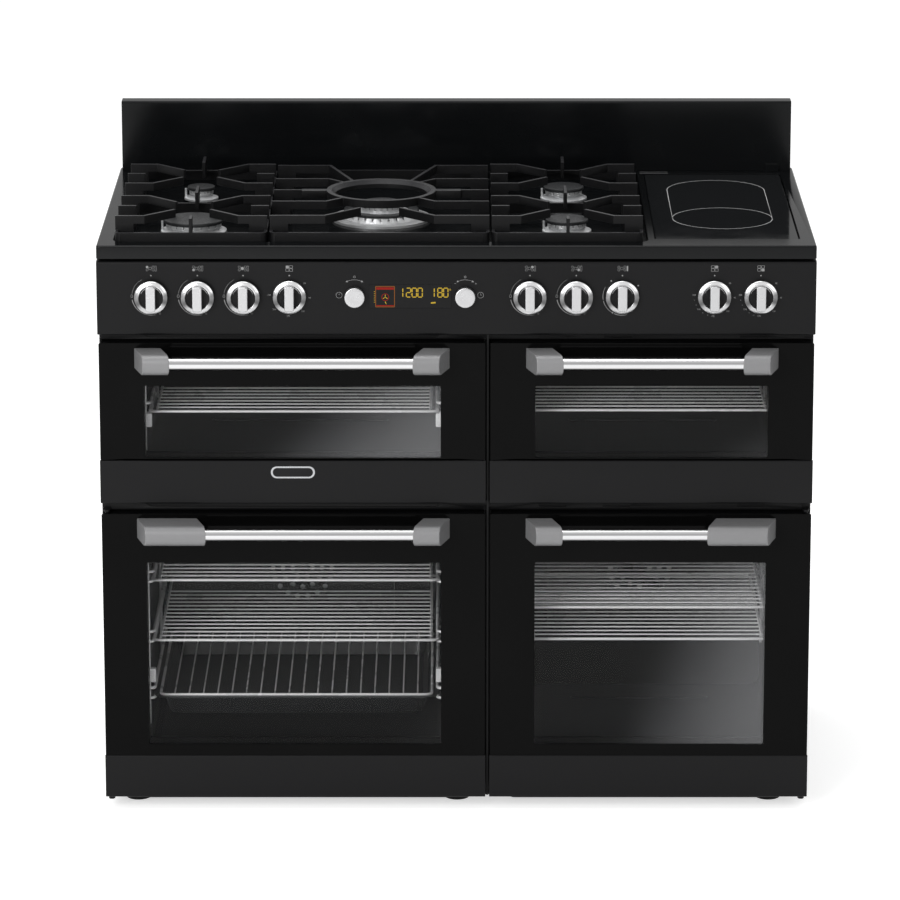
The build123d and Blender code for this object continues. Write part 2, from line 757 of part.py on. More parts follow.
def side_support(left, width, x):
    """Add a two-burner pan support: frame, middle bar, bent fingers and stubs."""
    support_frame(left, width)
    middle_y = (burner_row_front + burner_row_rear) / 2
    frame_low = well_z + support_frame_clear
    block(left, left + width, middle_y - support_bar / 2, middle_y + support_bar / 2,
          frame_low, frame_low + support_frame_height)
    end_fingers(x, middle_y)
    for edge, inward in ((left, 1), (left + width, -1)):
        for row in (burner_row_front, burner_row_rear):
            for turn in (-1, 1):
                start = (edge, row + turn * finger_offset)
                bend = (edge + inward * finger_level, row + turn * finger_offset)
                tip = (x - inward * finger_tip, row + turn * finger_tip)
                finger([start, bend, tip], (edge + inward * finger_leg, row + turn * finger_offset))
            finger([(edge, row), (edge + inward * finger_leg, row)], (edge + inward * finger_leg, row))


# Pan supports: cast iron frames with bent fingers that stop short of each burner
centre_support_x = left_support_x + left_support_width + support_gap
right_support_x = centre_support_x + centre_support_width + support_gap
with BuildPart() as pan_support_left:
    side_support(left_support_x, left_support_width, burner_column_left)
save(pan_support_left.part, "pan_support_left")

with BuildPart() as pan_support_centre:
    support_frame(centre_support_x, centre_support_width)
    ring_z = support_top - wok_ring_height
    for edge, inward in ((centre_support_x, 1), (centre_support_x + centre_support_width, -1)):
        ring_side = burner_column_wok - inward * (wok_ring_radius - wok_ring_width / 2)
        slope = math.sqrt(2) / 2
        for turn in (-1, 1):
            # near fingers turn at 45 degrees and meet the ring
            near_y = burner_row_wok + turn * wok_near_offset
            near_tip = (burner_column_wok - inward * (wok_ring_radius - wok_ring_width / 2) * slope,
                        burner_row_wok + turn * (wok_ring_radius - wok_ring_width / 2) * slope)
            near_bend = (edge + inward * centre_finger_level, near_y)
            finger([(edge, near_y), near_bend, near_tip], (edge + inward * finger_leg, near_y))
        # front fingers stop before the ring, rear ones run on to it
        far_front = burner_row_wok - wok_far_offset
        far_rear = burner_row_wok + wok_far_offset
        finger([(edge, far_front), (edge + inward * centre_finger_level, far_front),
                (burner_column_wok - inward * wok_tip_x, burner_row_wok - wok_tip_y)],
               (edge + inward * finger_leg, far_front))
        finger([(edge, far_rear), (edge + inward * centre_finger_level, far_rear),
                (burner_column_wok - inward * wok_ring_radius * slope * slope,
                 burner_row_wok + wok_ring_radius * slope)],
               (edge + inward * finger_leg, far_rear))
        # broad lugs carry the ring at its sides
        finger([(edge, burner_row_wok), (edge + inward * finger_level, burner_row_wok)],
               (edge + inward * finger_leg, burner_row_wok))
        block(min(edge + inward * finger_level, ring_side), max(edge + inward * finger_level, ring_side),
              burner_row_wok - wok_lug_width / 2, burner_row_wok + wok_lug_width / 2,
              support_top - wok_ring_height, support_top - seat_gap)
    with BuildSketch(Plane.XY.offset(ring_z)) as wok_ring:
        with Locations((burner_column_wok, burner_row_wok)):
            Circle(wok_ring_radius)
            Circle(wok_ring_radius - wok_ring_width, mode=Mode.SUBTRACT)
    extrude(wok_ring.sketch, amount=wok_ring_height + seat_gap)
    ring_rims = pan_support_centre.faces().sort_by(Axis.Z)[-1].inner_wires()[0].edges()
    chamfer(ring_rims, wok_ring_height / 2)
save(pan_support_centre.part, "pan_support_centre")

with BuildPart() as pan_support_right:
    side_support(right_support_x, right_support_width, burner_column_right)
save(pan_support_right.part, "pan_support_right")

# Oven cavities: enamelled boxes with rounded corners, open at the front
with BuildPart() as oven_cavities:
    for oven in ovens:
        low_x = oven.x - oven.width / 2
        high_x = oven.x + oven.width / 2
        upright(low_x - cavity_wall, high_x + cavity_wall, oven.floor - cavity_wall,
                oven.floor + oven.height + cavity_wall, cavity_corner + cavity_wall,
                frame_back, cavity_back + cavity_wall)
        upright(low_x, high_x, oven.floor, oven.floor + oven.height, cavity_corner,
                frame_back, cavity_back, Mode.SUBTRACT)
        if not oven.upper:
            # bush for the fan shaft
            bush_plane = Plane.XZ.offset(-cavity_back)
            rod(bush_plane, oven.x, fan_height, fan_bush_radius, -fan_bush_length)
            rod(bush_plane, oven.x, fan_height, fan_shaft_radius + running_gap, -fan_bush_length,
                Mode.SUBTRACT)
save(oven_cavities.part, "oven_cavities")

# Door seals: a ring on the front frame round each cavity mouth
with BuildPart() as door_seals:
    for oven in ovens:
        low_x = oven.x - oven.width / 2
        high_x = oven.x + oven.width / 2
        upright(low_x - seal_width, high_x + seal_width, oven.floor - seal_width,
                oven.floor + oven.height + seal_width, cavity_corner + seal_width,
                frame_y - door_seal_gap + seat_gap, frame_y)
        upright(low_x, high_x, oven.floor, oven.floor + oven.height, cavity_corner,
                frame_y - door_seal_gap, frame_y, Mode.SUBTRACT)
save(door_seals.part, "door_seals")

# Shelf ladders: wire racks on the cavity walls, with a rail and a guard at each level
wire_corner = 1 / math.cos(math.pi / wire_sides)
with BuildPart() as shelf_supports:
    ladder_y = frame_back + ladder_front
    ladder_end = cavity_back - cover_depth - ladder_rear
    for oven in ovens:
        levels = oven.levels + ([tray_level] if oven.name == "lower_left" else [])
        post_low = min(levels + [oven.catch]) - ladder_foot * 2
        post_high = max(levels) + ladder_guard_rise + ladder_foot
        post_out = oven.width / 2 - ladder_wire / 2 * wire_corner - running_gap
        rail_out = oven.width / 2 - shelf_side_inset
        rail_heights = [level - shelf_bar / 2 - seat_gap - ladder_wire / 2 + rise
                        for level in levels for rise in (0, ladder_guard_rise)]
        wires(Plane.XY.offset(post_low),
              [(oven.x + side * post_out, post_y) for side in (-1, 1) for post_y in (ladder_y, ladder_end)],
              ladder_wire, post_high - post_low)
        wires(Plane.XZ.offset(-ladder_y + ladder_wire / 2),
              [(oven.x + side * rail_out, rail_z) for side in (-1, 1) for rail_z in rail_heights],
              ladder_wire, ladder_y - ladder_end - ladder_wire)
        link_places = [(post_y, rail_z) for post_y in (ladder_y, ladder_end) for rail_z in rail_heights]
        wires(Plane.YZ.offset(oven.x - post_out), link_places, ladder_wire, post_out - rail_out)
        wires(Plane.YZ.offset(oven.x + rail_out), link_places, ladder_wire, post_out - rail_out)
        # front catch clipped round each front post
        for side in (-1, 1):
            catch_x = sorted((oven.x + side * post_out, oven.x + side * (post_out - ladder_catch_width)))
            block(catch_x[0], catch_x[1], ladder_y - ladder_catch_depth / 2,
                  ladder_y + ladder_catch_depth / 2, oven.catch - ladder_catch_height / 2,
                  oven.catch + ladder_catch_height / 2)
save(shelf_supports.part, "shelf_supports")

# Wire shelves: a frame of thick bars with thin cross wires lying on its inner rods
shelf_y = frame_y + shelf_front
shelf_pitch = (shelf_rear - shelf_y) / (shelf_wire_count + 1)
for oven in ovens:
    half = oven.width / 2 - shelf_side_inset
    inner = half - shelf_inner_inset
    for number, level in enumerate(oven.levels):
        with BuildPart() as shelf:
            wires(Plane.YZ.offset(oven.x - half - shelf_bar / 2), [(shelf_y, level), (shelf_rear, level)],
                  shelf_bar, half * 2 + shelf_bar)
            wires(Plane.XZ.offset(-shelf_y),
                  [(oven.x + rod_x, level) for rod_x in (-half, -inner, inner, half)],
                  shelf_bar, shelf_y - shelf_rear)
            wires(Plane.YZ.offset(oven.x - inner - shelf_wire),
                  [(shelf_y + shelf_pitch * step, level + shelf_wire / 2)
                   for step in range(1, shelf_wire_count + 1)],
                  shelf_wire, (inner + shelf_wire) * 2)
        names = ["shelf_" + oven.name, "shelf_" + oven.name + "_upper"]
        save(shelf.part, names[number])

# Roasting tray: a pressed pan hung from the ladder rails, with a wire grid in it
tray_oven = ovens[2]
tray_half = tray_oven.width / 2 - shelf_side_inset + ladder_wire / 2
tray_inner = tray_half - tray_flange
tray_front_y = shelf_y + tray_wall
with BuildPart() as roasting_tray:
    tray_z = tray_level - shelf_bar / 2
    tray_middle = (tray_front_y + shelf_rear) / 2
    tray_run = shelf_rear - tray_front_y
    with BuildSketch(Plane.XY.offset(tray_z)) as flange:
        with Locations((tray_oven.x, tray_middle)):
            RectangleRounded(tray_half * 2, tray_run, tray_corner)
    extrude(flange.sketch, amount=tray_wall)
    for inset, height, mode in ((0, 0, Mode.ADD), (tray_wall, tray_wall, Mode.SUBTRACT)):
        with BuildSketch(Plane.XY.offset(tray_z + height)) as mouth:
            with Locations((tray_oven.x, tray_middle)):
                RectangleRounded((tray_inner - inset) * 2, tray_run - (tray_flange + inset) * 2,
                                 tray_corner - inset)
        with BuildSketch(Plane.XY.offset(tray_z - tray_depth + height)) as bottom:
            with Locations((tray_oven.x, tray_middle)):
                RectangleRounded((tray_inner - inset - tray_taper) * 2,
                                 tray_run - (tray_flange + inset + tray_taper) * 2, tray_corner - inset)
        loft([bottom.sketch.face(), mouth.sketch.face()], mode=mode)
    # wire grid whose frame rests on the flange
    grid_z = tray_z + tray_wall + shelf_bar / 2
    grid_half = tray_inner + tray_flange / 3
    grid_low = tray_front_y + tray_flange / 2
    grid_high = shelf_rear - tray_flange / 2
    wires(Plane.YZ.offset(tray_oven.x - grid_half), [(grid_low, grid_z), (grid_high, grid_z)],
          shelf_bar, grid_half * 2)
    wires(Plane.XZ.offset(-grid_low), [(tray_oven.x - grid_half, grid_z), (tray_oven.x + grid_half, grid_z)],
          shelf_bar, grid_low - grid_high)
    grid_pitch = grid_half * 2 / (tray_grid_count + 1)
    wires(Plane.XZ.offset(-grid_low),
          [(tray_oven.x - grid_half + grid_pitch * step, grid_z + tray_grid_wire / 2)
           for step in range(1, tray_grid_count + 1)],
          tray_grid_wire, grid_low - grid_high)
save(roasting_tray.part, "roasting_tray")

# Fan covers: shallow pressed boxes with rings of six-sided holes before each fan
cover_face = cavity_back - cover_depth
with BuildPart() as fan_covers:
    for oven in ovens:
        if oven.upper:
            continue
        cover_low = fan_height - cover_height / 2
        upright(oven.x - cover_width / 2, oven.x + cover_width / 2, cover_low, cover_low + cover_height,
                cover_corner, cover_face, cavity_back)
        upright(oven.x - cover_width / 2 + sheet, oven.x + cover_width / 2 - sheet, cover_low + sheet,
                cover_low + cover_height - sheet, cover_corner - sheet, cover_face + sheet, cavity_back,
                Mode.SUBTRACT)
        with BuildSketch(Plane.XZ.offset(-cover_face)) as holes:
            with Locations((oven.x, fan_height)):
                for ring in range(1, cover_ring_count + 1):
                    with PolarLocations(cover_ring_step * ring, wire_sides * ring):
                        RegularPolygon(cover_hole_radius, wire_sides)
        extrude(holes.sketch, amount=-sheet, mode=Mode.SUBTRACT)
save(fan_covers.part, "fan_covers")

# Fans: a hub on its shaft, a disc and radial blades behind each cover
for oven in ovens:
    if oven.upper:
        continue
    fan_front = cover_face + sheet + fan_front_gap
    fan_plane = Plane(origin=(oven.x, fan_front, fan_height), x_dir=(1, 0, 0), z_dir=(0, 1, 0))
    with BuildPart() as fan:
        with BuildSketch(fan_plane):
            Circle(fan_radius)
        extrude(amount=fan_blade_sheet)
        with BuildSketch(fan_plane):
            Circle(fan_hub_radius)
        extrude(amount=fan_blade_width)
        with BuildSketch(fan_plane):
            with PolarLocations((fan_radius + fan_hub_radius) / 2, fan_blade_count):
                Rectangle(fan_radius - fan_hub_radius + sheet, fan_blade_sheet)
        extrude(amount=fan_blade_width)
        with BuildSketch(fan_plane):
            Circle(fan_shaft_radius)
        extrude(amount=fan_shaft_length)
    save(fan.part, "fan_" + oven.name)

# Heating elements: a ring round each fan and a looped grill under the upper left roof
with BuildPart() as heating_elements:
    for oven in ovens:
        if oven.upper:
            continue
        ring_y = cover_face + cover_depth / 2
        ring_plane = Plane(origin=(oven.x, ring_y, fan_height), x_dir=(1, 0, 0), z_dir=(0, 0, 1))
        with BuildSketch(ring_plane) as ring_section:
            with Locations((ring_element_radius, 0)):
                RegularPolygon(element_radius, wire_sides)
        revolve(ring_section.sketch, Axis((oven.x, ring_y, fan_height), (0, 1, 0)))
        wires(Plane.XZ.offset(-ring_y),
              [(oven.x + side * ring_element_radius, fan_height) for side in (-1, 1)],
              element_radius * 2, ring_y - cavity_back)
    grill_oven = ovens[0]
    grill_z = grill_oven.floor + grill_oven.height - grill_drop
    grill_low_y = cavity_back - element_radius * 2 - grill_front * 2 - grill_rear_bend
    grill_mid_y = cavity_back - grill_rear_bend
    with BuildLine() as grill_path:
        FilletPolyline(
            (grill_oven.x - grill_half_width, cavity_back, grill_z),
            (grill_oven.x - grill_half_width, grill_low_y, grill_z),
            (grill_oven.x - grill_half_width / 3, grill_low_y, grill_z),
            (grill_oven.x - grill_half_width / 3, grill_mid_y, grill_z),
            (grill_oven.x + grill_half_width / 3, grill_mid_y, grill_z),
            (grill_oven.x + grill_half_width / 3, grill_low_y, grill_z),
            (grill_oven.x + grill_half_width, grill_low_y, grill_z),
            (grill_oven.x + grill_half_width, cavity_back, grill_z), radius=grill_bend_radius)
    with BuildSketch(Plane(origin=grill_path.line @ 0, z_dir=grill_path.line % 0)) as grill_section:
        RegularPolygon(element_radius, wire_sides)
    sweep(grill_section.sketch, path=grill_path.line)
save(heating_elements.part, "heating_elements")

# Gas rail: a pipe behind the panel with a tap for each gas knob and a run to the rear inlet
gas_rail_y = front_y + gas_rail_back
with BuildPart() as gas_rail:
    rail_start = min(gas_knob_places.values()) - gas_rail_end
    rod(Plane.YZ.offset(rail_start), gas_rail_y, knob_z, gas_rail_radius, inlet_x - rail_start)
    for tap_x in gas_knob_places.values():
        block(tap_x - tap_width / 2, tap_x + tap_width / 2, gas_rail_y - tap_depth, gas_rail_y,
              knob_z - tap_height / 2, knob_z + tap_height / 2)
        # nose that seats on the panel's back, bored for the stem
        tap_nose = gas_rail_back - tap_depth - sheet
        rod(collar_face, tap_x, knob_z, bush_radius, -tap_nose)
        rod(collar_face, tap_x, knob_z, stem_radius + running_gap, -tap_nose - tap_depth * 2 / 3,
            Mode.SUBTRACT)
    inlet_z = panel_bottom - inlet_drop
    rear_run_y = chassis_back - gas_rail_back
    rod(Plane.XZ.offset(-gas_rail_y), inlet_x, knob_z, gas_rail_radius, gas_rail_y - rear_run_y)
    rod(Plane.XY.offset(inlet_z), inlet_x, rear_run_y, gas_rail_radius, knob_z - inlet_z)
    rod(Plane.XZ.offset(-rear_run_y), inlet_x, inlet_z, gas_rail_radius,
        rear_run_y - chassis_back - sheet)
    rod(Plane.XZ.offset(-chassis_back - sheet), inlet_x, inlet_z, inlet_radius, -inlet_length)
save(gas_rail.part, "gas_rail")

# Gas stems and knobs: each stem is pushed in through the panel, then its knob turns
for name, knob_x in gas_knob_places.items():
    stem_front = front_y - gas_knob_gap - gas_stem_grip
    with BuildPart() as gas_stem:
        rod(Plane.XZ.offset(-stem_front), knob_x, knob_z, stem_radius, -gas_stem_length)
    save(gas_stem.part, "gas_stem_" + name)

# Control knobs: a dished ring with a raised grip bar, bored for a gas stem or with its own shaft
knob_rows = [("gas_knob_" + name, knob_x, gas_knob_gap) for name, knob_x in gas_knob_places.items()]
knob_rows += [("knob_" + name, knob_x, rotary_knob_gap) for name, knob_x in rotary_knob_places.items()]
for name, knob_x, gap in knob_rows:
    base = Plane(origin=(knob_x, front_y - gap, knob_z), x_dir=(1, 0, 0), z_dir=(0, -1, 0))
    dish_floor = base.offset(knob_ring_depth - knob_dish_depth)
    with BuildPart() as knob:
        with BuildSketch(base):
            Circle(knob_radius)
        extrude(amount=knob_ring_depth)
        fillet(knob.faces().sort_by(Axis.Y)[0].edges(), knob_edge_radius)
        with BuildSketch(dish_floor):
            Circle(knob_dish_radius)
        extrude(amount=knob_dish_depth, mode=Mode.SUBTRACT)
        with BuildSketch(dish_floor):
            Circle(grip_length / 2)
            Rectangle(grip_width, grip_length, mode=Mode.INTERSECT)
        extrude(amount=knob_dish_depth + grip_rise)
        fillet(knob.faces().sort_by(Axis.Y)[0].edges(), grip_edge_radius)
        if gap == gas_knob_gap:
            rod(base, 0, 0, stem_radius + running_gap, gas_stem_grip + running_gap, Mode.SUBTRACT)
        else:
            rod(base, 0, 0, stem_radius, -knob_shaft_length)
    save(knob.part, name)

# Timer knobs: plain turned discs either side of the display
for name, knob_x in timer_knob_places.items():
    timer_base = Plane(origin=(knob_x, front_y - rotary_knob_gap, knob_z), x_dir=(1, 0, 0), z_dir=(0, -1, 0))
    with BuildPart() as timer_knob:
        with BuildSketch(timer_base):
            Circle(timer_knob_radius)
        extrude(amount=timer_knob_depth)
        fillet(timer_knob.faces().sort_by(Axis.Y)[0].edges(), timer_knob_edge)
        rod(timer_base, 0, 0, stem_radius, -knob_shaft_length)
    save(timer_knob.part, "timer_knob_" + name)


# Doors: outer and inner panes, a pressed liner, a painted trim strip and a handle
for oven in ovens:
    door_left = oven.door_x
    door_right = oven.door_x + oven.door_width
    door_low = upper_door_bottom if oven.upper else floor_gap
    door_high = upper_door_top if oven.upper else lower_door_top
    trim_high = door_low + (upper_trim_height if oven.upper else lower_trim_height)
    door_back = front_y + door_depth
    glass_back = front_y + glass_thickness
    window_left = oven.x - oven.window / 2
    window_right = oven.x + oven.window / 2

    with BuildPart() as glazing:
        upright(door_left, door_right, trim_high, door_high, trim_edge_radius, front_y, glass_back)
        upright(window_left - pane_overlap, window_right + pane_overlap, oven.low - pane_overlap,
                oven.high + pane_overlap, trim_edge_radius, door_back - glass_thickness, door_back)
    save(glazing.part, "door_glass_" + oven.name)

    liner_low = door_low + liner_inset
    liner_top = door_high - liner_inset
    hinge_z_boss = (upper_hinge_z - hinge_boss / 2, upper_hinge_z + hinge_boss / 2)
    with BuildPart() as liner:
        # pressed pan with its open side against the outer glass
        block(door_left + liner_inset, door_right - liner_inset, glass_back, door_back, liner_low, liner_top)
        block(door_left + liner_inset + sheet, door_right - liner_inset - sheet, glass_back,
              door_back - sheet - glass_thickness, liner_low + sheet, liner_top - sheet, Mode.SUBTRACT)
        # collar round the window, and the seat of the inner pane
        upright(window_left - window_collar, window_right + window_collar, oven.low - window_collar,
                oven.high + window_collar, trim_edge_radius, glass_back, door_back)
        upright(window_left - pane_overlap, window_right + pane_overlap, oven.low - pane_overlap,
                oven.high + pane_overlap, trim_edge_radius, door_back - glass_thickness,
                door_back, Mode.SUBTRACT)
        upright(window_left, window_right, oven.low, oven.high, trim_edge_radius,
                glass_back, door_back, Mode.SUBTRACT)
        if oven.upper:
            for edge_x, inward in ((door_left, 1), (door_right, -1)):
                # corner boss with the pin's bore, and the notch that the ear stands in
                boss = sorted((edge_x + inward * liner_inset, edge_x + inward * (hinge_notch + hinge_boss)))
                block(boss[0], boss[1], glass_back, door_back, liner_low, hinge_z_boss[1])
                notch = sorted((edge_x, edge_x + inward * hinge_notch))
                block(notch[0], notch[1], lower_hinge_y - hinge_notch_reach, door_back,
                      liner_low, upper_hinge_z + hinge_notch_reach, Mode.SUBTRACT)
                rod(Plane.YZ.offset(min(edge_x, edge_x + inward * (hinge_notch + hinge_boss))),
                    lower_hinge_y, upper_hinge_z, hinge_pin_radius + running_gap,
                    hinge_notch + hinge_boss, Mode.SUBTRACT)
        else:
            hinge_x = door_left + hinge_in if oven.left else door_right - hinge_in
            boss_x = sorted((hinge_x - hinge_boss / 2, hinge_x + hinge_boss / 2))
            boss_left = max(boss_x[0], door_left + liner_inset)
            boss_right = min(boss_x[1], door_right - liner_inset)
            for boss_low, boss_high in ((liner_low, liner_low + hinge_boss),
                                        (liner_top - hinge_boss, liner_top)):
                block(boss_left, boss_right, glass_back, door_back, boss_low, boss_high)
                rod(Plane.XY.offset(boss_low), hinge_x, lower_hinge_y, hinge_pin_radius + running_gap,
                    hinge_boss, Mode.SUBTRACT)
    save(liner.part, "door_liner_" + oven.name)

    with BuildPart() as trim:
        block(door_left - trim_side_proud, door_right + trim_side_proud, front_y - trim_proud,
              glass_back, door_low, trim_high)
        outer_edges = trim.faces().sort_by(Axis.Y)[0].edges().filter_by(Axis.X)
        fillet(outer_edges, trim_edge_radius)
        block(door_left - trim_side_proud + sheet, door_right + trim_side_proud - sheet,
              front_y - trim_proud + sheet, glass_back, door_low + sheet, trim_high - sheet, Mode.SUBTRACT)
    save(trim.part, "door_trim_" + oven.name)

    handle_z = door_high - (upper_handle_drop if oven.upper else lower_handle_drop)
    handle_low = handle_z - handle_block_height / 2
    left_width = handle_wide_block if oven.left and not oven.upper else handle_block_width
    right_width = handle_wide_block if not oven.left and not oven.upper else handle_block_width
    left_end = door_left + handle_end_inset
    right_end = door_right - handle_end_inset
    with BuildPart() as handle:
        for end_x, width, inward in ((left_end, left_width, 1), (right_end, right_width, -1)):
            with BuildSketch(Plane.XY.offset(handle_low)) as plan:
                with BuildLine():
                    Polyline((end_x, front_y), (end_x + inward * width, front_y),
                             (end_x + inward * (width + handle_block_skew), front_y - handle_block_reach),
                             (end_x + inward * handle_block_skew, front_y - handle_block_reach), close=True)
                make_face()
            extrude(plan.sketch, amount=handle_block_height)
        nose_edges = handle.edges().filter_by(Axis.X).group_by(Axis.Y)[0]
        fillet(nose_edges, handle_nose_radius)
        tube_left = left_end + left_width + handle_block_skew - handle_tube_sink
        tube_right = right_end - right_width - handle_block_skew + handle_tube_sink
        rod(Plane.YZ.offset(tube_left), front_y - handle_tube_reach, handle_z - seat_gap,
            handle_tube_radius, tube_right - tube_left)
    save(handle.part, "door_handle_" + oven.name)
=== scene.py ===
import json
import math

import bmesh
import bpy
from bpy.props import FloatProperty, FloatVectorProperty, IntProperty, PointerProperty
from mathutils import Matrix, Vector

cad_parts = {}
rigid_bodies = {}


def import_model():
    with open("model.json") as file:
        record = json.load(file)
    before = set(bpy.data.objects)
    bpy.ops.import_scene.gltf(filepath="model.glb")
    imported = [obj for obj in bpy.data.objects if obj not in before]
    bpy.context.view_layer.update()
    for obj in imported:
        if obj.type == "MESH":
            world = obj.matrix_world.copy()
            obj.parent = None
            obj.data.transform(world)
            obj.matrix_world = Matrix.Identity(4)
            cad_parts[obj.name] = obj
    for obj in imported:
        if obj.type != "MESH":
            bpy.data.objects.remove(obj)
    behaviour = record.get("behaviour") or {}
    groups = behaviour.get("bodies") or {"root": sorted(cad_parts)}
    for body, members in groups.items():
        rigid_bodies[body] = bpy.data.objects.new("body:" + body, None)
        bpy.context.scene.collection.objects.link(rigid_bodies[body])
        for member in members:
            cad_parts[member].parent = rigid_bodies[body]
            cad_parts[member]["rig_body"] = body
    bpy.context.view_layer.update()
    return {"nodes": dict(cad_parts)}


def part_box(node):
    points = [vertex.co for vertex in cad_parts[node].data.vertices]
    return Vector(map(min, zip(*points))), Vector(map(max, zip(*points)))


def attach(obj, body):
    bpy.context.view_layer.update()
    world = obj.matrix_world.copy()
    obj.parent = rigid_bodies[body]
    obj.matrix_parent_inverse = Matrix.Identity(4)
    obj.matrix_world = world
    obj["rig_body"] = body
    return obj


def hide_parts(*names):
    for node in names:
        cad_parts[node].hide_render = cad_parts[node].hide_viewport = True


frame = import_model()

bl_info = {
    "name": "Dual Fuel Range Cooker",
    "version": (1, 0, 0),
    "blender": (4, 5, 0),
    "location": "3D View > Sidebar > Cooker",
    "description": "Dresses the cooker's frame in enamel, glass, castings, wire, knobs and print",
    "category": "Object",
}

MM = 0.001
OVENS = ("upper_left", "upper_right", "lower_left", "lower_right")
GAS_KNOBS = ("rear_left", "front_left", "wok", "rear_right", "front_right")
ROTARY_KNOBS = ("grill_oven", "ceramic_zone", "upper_right_oven", "lower_right_oven")
TIMER_KNOBS = ("left", "right")
SUPPORTS = ("left", "centre", "right")


def tone(code):
    """Turn an sRGB hex colour into linear red, green and blue with full alpha."""
    parts = [int(code[place:place + 2], 16) / 255 for place in (1, 3, 5)]
    return [p / 12.92 if p <= 0.04045 else ((p + 0.055) / 1.055) ** 2.4 for p in parts] + [1.0]


def colour(name, code, says):
    """A colour that the user may change."""
    return FloatVectorProperty(name=name, description=says, subtype="COLOR", size=4, min=0, max=1,
                               default=tone(code))


def length(name, millimetres, says):
    """A size that the user may change, given in millimetres and kept in metres."""
    return FloatProperty(name=name, description=says, unit="LENGTH", subtype="DISTANCE",
                         default=millimetres * MM, min=0, precision=5)


class CookerColours(bpy.types.PropertyGroup):
    enamel: colour("Hob enamel", "#0a0b0c", "Black vitreous enamel of the hob and splashback")
    paint: colour("Panel paint", "#0b0b0c", "Satin black of the control panel, trims and sides")
    glass: colour("Door glass", "#050505", "Black print behind the toughened door glass")
    smoke: colour("Window glass", "#0c0d0e", "Smoked window of each door")
    oven: colour("Oven enamel", "#1c1d1f", "Speckled dark grey enamel inside the ovens")
    iron: colour("Pan supports", "#0a0a0b", "Matt enamelled cast iron")
    casting: colour("Burner castings", "#cfd0d1", "Satin aluminium of the burner heads")
    cap: colour("Burner caps", "#1a1b1c", "Matt enamel of the burner caps")
    handle: colour("Handle blocks", "#7e7e7f", "Satin grey of the handle end blocks")
    tube: colour("Handle tubes", "#c8c8c9", "Polished steel of the handle tubes")
    chrome: colour("Knob rings", "#cfcfd0", "Turned bright metal of the knob rings")
    grip: colour("Knob grips", "#b9b9ba", "Satin metal of the knob grips")
    ink: colour("Panel print", "#8e8e8e", "Screen printed ink of the panel's marks")
    amber: colour("Display digits", "#cfae38", "Lit digits of the display")
    red: colour("Display symbols", "#961c12", "Lit symbols of the display")


class CookerSizes(bpy.types.PropertyGroup):
    edge: length("Sheet edge", 0.5, "Rounding of folded and pressed sheet edges")
    cast_edge: length("Cast edge", 1.1, "Rounding of the cast iron bars")
    print_lift: length("Print thickness", 0.06, "How far the printed ink stands on its surface")
    plate_gap: length("Ceramic plate gap", 1.2, "How far the ceramic plate draws in from its solid")
    glass: length("Glass thickness", 4, "Thickness of each door pane")
    left_window: length("Left window width", 456, "Clear width of the left doors' windows")
    right_window: length("Right window width", 358, "Clear width of the right doors' windows")
    window_corner: length("Window corner", 2.5, "Radius of the windows' corners")
    rail: length("Rack bar", 2.3, "Radius of the racks' frame bars")
    wire: length("Rack wire", 1.25, "Radius of the racks' cross wires")
    wire_count: IntProperty(name="Rack wires", description="Cross wires of each shelf",
                            default=13, min=3)
    wire_pitch: length("Rack wire pitch", 20.6, "Distance from one cross wire to the next")
    grid_count: IntProperty(name="Grid wires", description="Cross wires of the tray's grid",
                            default=18, min=3)
    screw: length("Screw head", 3.4, "Radius of the screw heads")
    crown_lift: length("Crown lift", 5.5, "How far the four plain burners' crowns are raised")
    tube: length("Handle tube", 10, "Radius of the handle tubes")


# Materials


def add(tree, kind, inputs=None, **settings):
    """Add one node with its settings, its values and the links that come in."""
    node = tree.nodes.new(kind)
    for key, value in settings.items():
        setattr(node, key, value)
    for key, value in (inputs or {}).items():
        if isinstance(value, bpy.types.NodeSocket):
            tree.links.new(value, node.inputs[key])
        else:
            node.inputs[key].default_value = value
    return node


def begun(name, base, roughness, **sockets):
    """Begin a finish: its material, tree, shader and the object's own coordinates."""
    material = bpy.data.materials.new(name)
    material.use_nodes = True
    tree = material.node_tree
    tree.nodes.clear()
    place = add(tree, "ShaderNodeTexCoord").outputs["Object"]
    values = {"Base Color": base, "Roughness": roughness}
    values.update({key.replace("_", " "): value for key, value in sockets.items()})
    shader = add(tree, "ShaderNodeBsdfPrincipled", values)
    add(tree, "ShaderNodeOutputMaterial", {"Surface": shader.outputs["BSDF"]})
    return material, tree, shader, place


def drift(tree, place, millimetres, low, high, detail=3.0):
    """A value that wanders between two limits over patches of a real size."""
    noise = add(tree, "ShaderNodeTexNoise", {"Vector": place, "Scale": 1 / (millimetres * MM),
                                             "Detail": detail})
    return add(tree, "ShaderNodeMapRange",
               {"Value": noise.outputs["Fac"], "From Min": 0.3, "From Max": 0.7, "To Min": low,
                "To Max": high}).outputs["Result"]


def specks(tree, place, millimetres, near, far, randomness):
    """Round specks, one in each cell of a real size: full up to near and gone at far."""
    cells = add(tree, "ShaderNodeTexVoronoi", {"Vector": place, "Scale": 1 / (millimetres * MM),
                                               "Randomness": randomness})
    return add(tree, "ShaderNodeMapRange",
               {"Value": cells.outputs["Distance"], "From Min": near, "From Max": far,
                "To Min": 1.0, "To Max": 0.0}).outputs["Result"]


def relief(tree, shader, height, millimetres):
    """Turn a height pattern into a fine relief of a real depth."""
    bump = add(tree, "ShaderNodeBump", {"Height": height, "Distance": millimetres * MM,
                                        "Strength": 1.0})
    tree.links.new(bump.outputs["Normal"], shader.inputs["Normal"])


def blend_colours(tree, share, first, second):
    """Mix two colours by a pattern; the first may come from another node."""
    mix = add(tree, "ShaderNodeMix", {"Factor": share, 6: first, 7: second}, data_type="RGBA")
    return mix.outputs[2]


